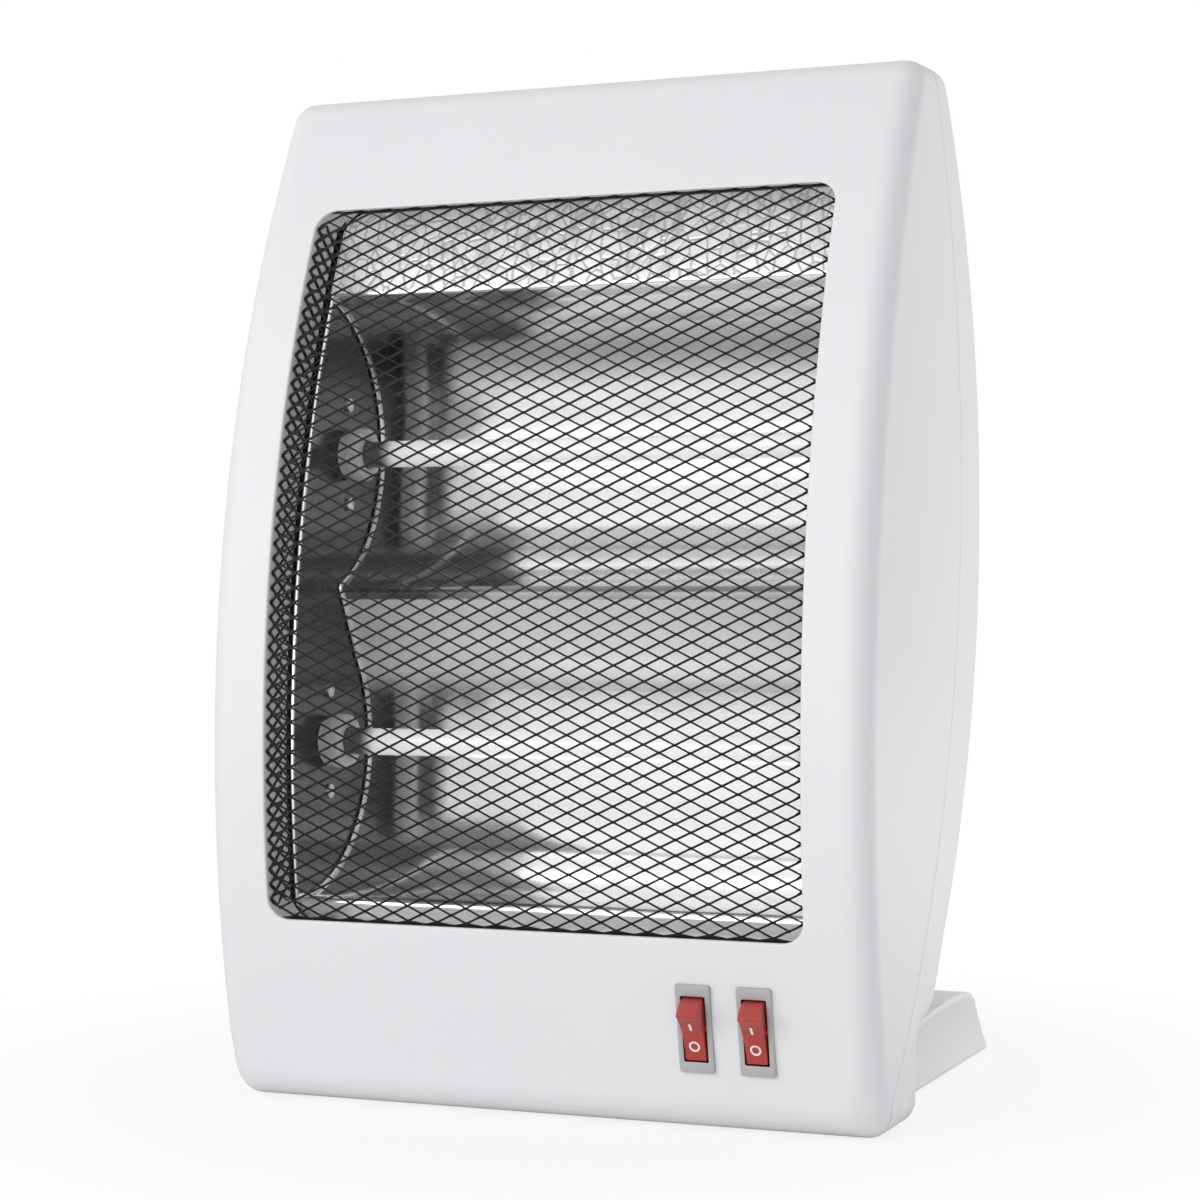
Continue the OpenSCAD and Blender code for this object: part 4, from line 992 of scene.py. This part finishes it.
RIVET_REACH = 19
heads = []
for axis in (UPPER_AXIS, LOWER_AXIS):
    for side in (-1, 1):
        dome = [(side * (PLATE_X - 0.02 - h), r) for h, r in (
            (0.0, 0.2), (0.0, 2.5), (0.3, 2.6), (0.7, 2.3), (0.95, 1.5), (1.0, 0.2))]
        for e in (-RIVET_REACH, RIVET_REACH):
            heads.append(lathe_x(dome if side > 0 else dome[::-1], (axis[0], axis[1] + e), 20))
p, f = joined(heads)
piece("rivet_heads", p, f, EDGE, "steel")


# ---- Rocker switches ----

def on_front(points, x, z):
    """Points of the switch frame (x across, y into the case, z up) as points of the case."""
    a = -math.asin((z - FRONT[1]) / FRONT[2])
    q = np.asarray(points, float)
    y = q[:, 1] - FRONT[2]
    return np.stack([q[:, 0] + x, FRONT[0] + y * math.cos(a) - q[:, 2] * math.sin(a),
                     FRONT[1] + y * math.sin(a) + q[:, 2] * math.cos(a)], 1)


def rect_ring(half_w, half_l, r, y, n=5):
    ring = []
    for cx, cz, a0 in ((1, 1, 0), (-1, 1, 90), (-1, -1, 180), (1, -1, 270)):
        for i in range(n + 1):
            a = math.radians(a0 + 90 * i / n)
            ring.append((cx * (half_w - r) + r * math.cos(a), y,
                         cz * (half_l - r) + r * math.sin(a)))
    return ring


PROUD = 1.2
PIVOT_Y = 0.3
TIP_R, TIP_ANGLE, TILT, ROCKER_HALF = 11.0, 30.5, 21.5, 3.75
MOUTH_W, MOUTH_L = 4.3, 11.5
TIP_OUT = TIP_R * math.sin(math.radians(TIP_ANGLE))
TIP_UP = TIP_R * math.cos(math.radians(TIP_ANGLE))
FACE_R = TIP_UP / math.sin(math.radians(TILT))
FACE_CENTRE = TIP_OUT + FACE_R * math.cos(math.radians(TILT))


def switch_frame():
    """The grey frame that stands proud round the mouth, in the switch's own frame."""
    top = -PROUD
    rings = [rect_ring(6.2, 15.5, 0.9, -0.03), rect_ring(6.2, 15.5, 0.9, top + 0.35),
             rect_ring(6.12, 15.42, 0.85, top + 0.12), rect_ring(5.9, 15.2, 0.75, top),
             rect_ring(MOUTH_W + 0.35, MOUTH_L + 0.35, 0.7, top),
             rect_ring(MOUTH_W + 0.1, MOUTH_L + 0.1, 0.5, top + 0.12)]
    return swept(rings, capped=False)


def switch_well():
    """The walls and floor round the rocker, painted black for the shadow in the gap, and the
    body behind the case.
    """
    rings = [rect_ring(MOUTH_W + 0.1, MOUTH_L + 0.1, 0.5, 0.12 - PROUD),
             rect_ring(MOUTH_W, MOUTH_L, 0.45, 0.4 - PROUD),
             rect_ring(MOUTH_W, MOUTH_L, 0.45, 8.7), rect_ring(0.2, 0.2, 0.1, 8.7)]
    shell = [rect_ring(5.2, 14.0, 0.5, -0.03), rect_ring(5.2, 14.0, 0.5, 16.0),
             rect_ring(0.2, 0.2, 0.1, 16.0)]
    return joined([swept(rings, capped=False), swept(shell, capped=False)])


def face_out(up):
    """How far the hollow face stands out from the pivot."""
    return FACE_CENTRE - math.sqrt(FACE_R ** 2 - up * up)


def rocker_outline():
    """Side view of the rocker about its pivot: (up, out) pairs."""
    face = [(up, face_out(up)) for up in np.linspace(TIP_UP - 0.3, -TIP_UP + 0.3, 25)]
    low = math.degrees(math.asin(-4 / TIP_R))
    lower = [(-TIP_R * math.cos(math.radians(a)), TIP_R * math.sin(math.radians(a)))
             for a in np.linspace(TIP_ANGLE - 1.4, low, 12)]
    return face + lower + [(-u, o) for u, o in lower[::-1]]


def inset(ring, d):
    q = np.array(ring)
    t = np.roll(q, -1, axis=0) - np.roll(q, 1, axis=0)
    n = np.stack([-t[:, 1], t[:, 0]], 1)
    n /= np.linalg.norm(n, axis=1)[:, None]
    return q + n * d


def tilted(x, up, out):
    """A point of the rocker at rest, in the switch frame."""
    a = math.radians(TILT)
    return (x, PIVOT_Y - out * math.cos(a) - up * math.sin(a),
            up * math.cos(a) - out * math.sin(a))


def rocker_body():
    ring = rocker_outline()
    sections = []
    for x, d in ((-1, 0.45), (-0.985, 0.2), (-0.945, 0.05), (-0.88, 0.0), (0.88, 0.0),
                 (0.945, 0.05), (0.985, 0.2), (1, 0.45)):
        sections.append([tilted(x * ROCKER_HALF, u, o) for u, o in inset(ring, d)])
    pins = []
    for side in (-1, 1):
        profile = [(side * x, r) for x, r in ((3.6, 0.1), (3.6, 1.08), (5.0, 1.08),
                                              (5.15, 0.9), (5.15, 0.1))]
        p, f = lathe_x(profile[::side], (0, 0), 20)
        pins.append(([tilted(x, up, -y) for x, y, up in p], f))
    return joined([swept(sections)] + pins)


def marks():
    """The short stroke at the upper end and the ring at the lower end of a rocker."""
    def bar(spots):
        """A section of print: its outer edge stands proud, its inner edge is sunk."""
        (xa, ua), (xb, ub) = spots
        return [tilted(x, u, face_out(u) + lift) for x, u, lift in
                ((xa, ua, 0.05), (xb, ub, 0.05), (xb, ub, -0.12), (xa, ua, -0.12))]

    stroke = [bar(((-0.42, u), (0.42, u))) for u in np.linspace(2.2, 5.4, 7)]
    ring = [bar([(r * math.cos(a), -4.5 + r * math.sin(a)) for r in (1.95, 1.30)])
            for a in np.linspace(0, 2 * math.pi, 40, endpoint=False)]
    return joined([swept(stroke), swept(ring, closed=True)])


for x, name in zip(SWITCH_X, ("inner", "outer")):
    body = f"{name}_rocker"
    for word, shape, finish, slot, more in (
            ("switch_frame", switch_frame(), BEZEL, "switch_grey",
             {"stands_for": [f"switch_body_{name}"]}),
            ("switch_well", switch_well(), SHADOW, "switch_grey", {}),
            ("rocker", rocker_body(), RED, "rocker_red",
             {"body": body, "stands_for": [f"rocker_{name}"]}),
            ("rocker_marks", marks(), WHITE_MARK, "rocker_red", {"body": body})):
        p, f = shape
        piece(f"{name}_{word}", on_front(p, x, SWITCH_Z), f, finish, slot, **more)


# ---- Stage, light and camera ----

def flat_disc(name, radius, z, n=96):
    mesh = bpy.data.meshes.new(name)
    t = np.linspace(0, 2 * np.pi, n, endpoint=False)
    mesh.from_pydata([(radius * math.cos(a), radius * math.sin(a), z) for a in t], [],
                     [tuple(range(n))])
    made = bpy.data.objects.new(name, mesh)
    bpy.context.collection.objects.link(made)
    return made


def studio_floor():
    """White floor that keeps the shadow near the heater and turns plain white further out."""
    m = Finish("studio_floor", Base_Color=(0.93, 0.93, 0.93), Roughness=0.9,
               Specular_IOR_Level=0.0)
    away = m.node("ShaderNodeVectorMath", {"operation": "LENGTH"}, m.place, out=1)
    seen = m.node("ShaderNodeLightPath", {}, out="Is Camera Ray")
    white = m.node("ShaderNodeEmission", {})
    amount = (0.80 + 0.20 * away.step(0.10, 0.35)) * seen
    m.put(m.result, 0, m.node("ShaderNodeMixShader", {}, amount, m.shader, white))
    return m.material


floor = flat_disc("studio_floor", 14.0, -0.0002)
floor.data.materials.append(studio_floor())


def lamp(name, at, width, height, power, aim=(0.0, 0.0, 0.18)):
    data = bpy.data.lights.new(name, "AREA")
    data.shape = "RECTANGLE"
    data.size = width
    data.size_y = height
    data.energy = power
    made = bpy.data.objects.new(name, data)
    bpy.context.collection.objects.link(made)
    made.location = at
    made.rotation_euler = (Vector(aim) - Vector(at)).to_track_quat("-Z", "Y").to_euler()
    made.visible_camera = False


lamp("key_light", (-1.35, -2.35, 1.0), 2.9, 1.9, 38.0)
lamp("low_light", (0.60, -1.75, 0.22), 1.2, 0.40, 3.8, (-0.1, -0.1, 0.1))
lamp("rear_light", (0.48, 0.28, 0.06), 0.5, 0.10, 0.42, (0.12, 0.03, 0.03))
lamp("side_light", (0.27, 0.16, 0.26), 0.10, 0.55, 0.19, (0.12, -0.04, 0.24))


def studio_world():
    """A soft pale sky for light, plain white where it is seen or mirrored."""
    world = bpy.data.worlds.new("studio_world")
    world.use_nodes = True
    sky = Nodes(world.node_tree)
    camera_ray, glossy, through = (
        sky.node("ShaderNodeLightPath", {}, out=f"Is {kind} Ray")
        for kind in ("Camera", "Glossy", "Transmission"))
    ambient = sky.node("ShaderNodeBackground", {}, (0.97, 0.98, 1.0), 0.53)
    plain = sky.node("ShaderNodeBackground", {}, (1.0, 1.0, 1.0), 1.0)
    direct = camera_ray.larger(glossy).larger(through)
    sky.node("ShaderNodeOutputWorld", {},
             sky.node("ShaderNodeMixShader", {}, direct, ambient, plain))
    return world


bpy.context.scene.world = studio_world()

camera = bpy.data.cameras.new("camera")
camera.lens = 82.0
camera.sensor_width = 36.0
eye = bpy.data.objects.new("camera", camera)
bpy.context.collection.objects.link(eye)
eye.location = (0.3757, -0.9684, 0.1808)
eye.rotation_euler = (math.pi / 2, 0.0, math.radians(22.0))
bpy.context.scene.camera = eye
bpy.context.scene.view_settings.view_transform = "Standard"
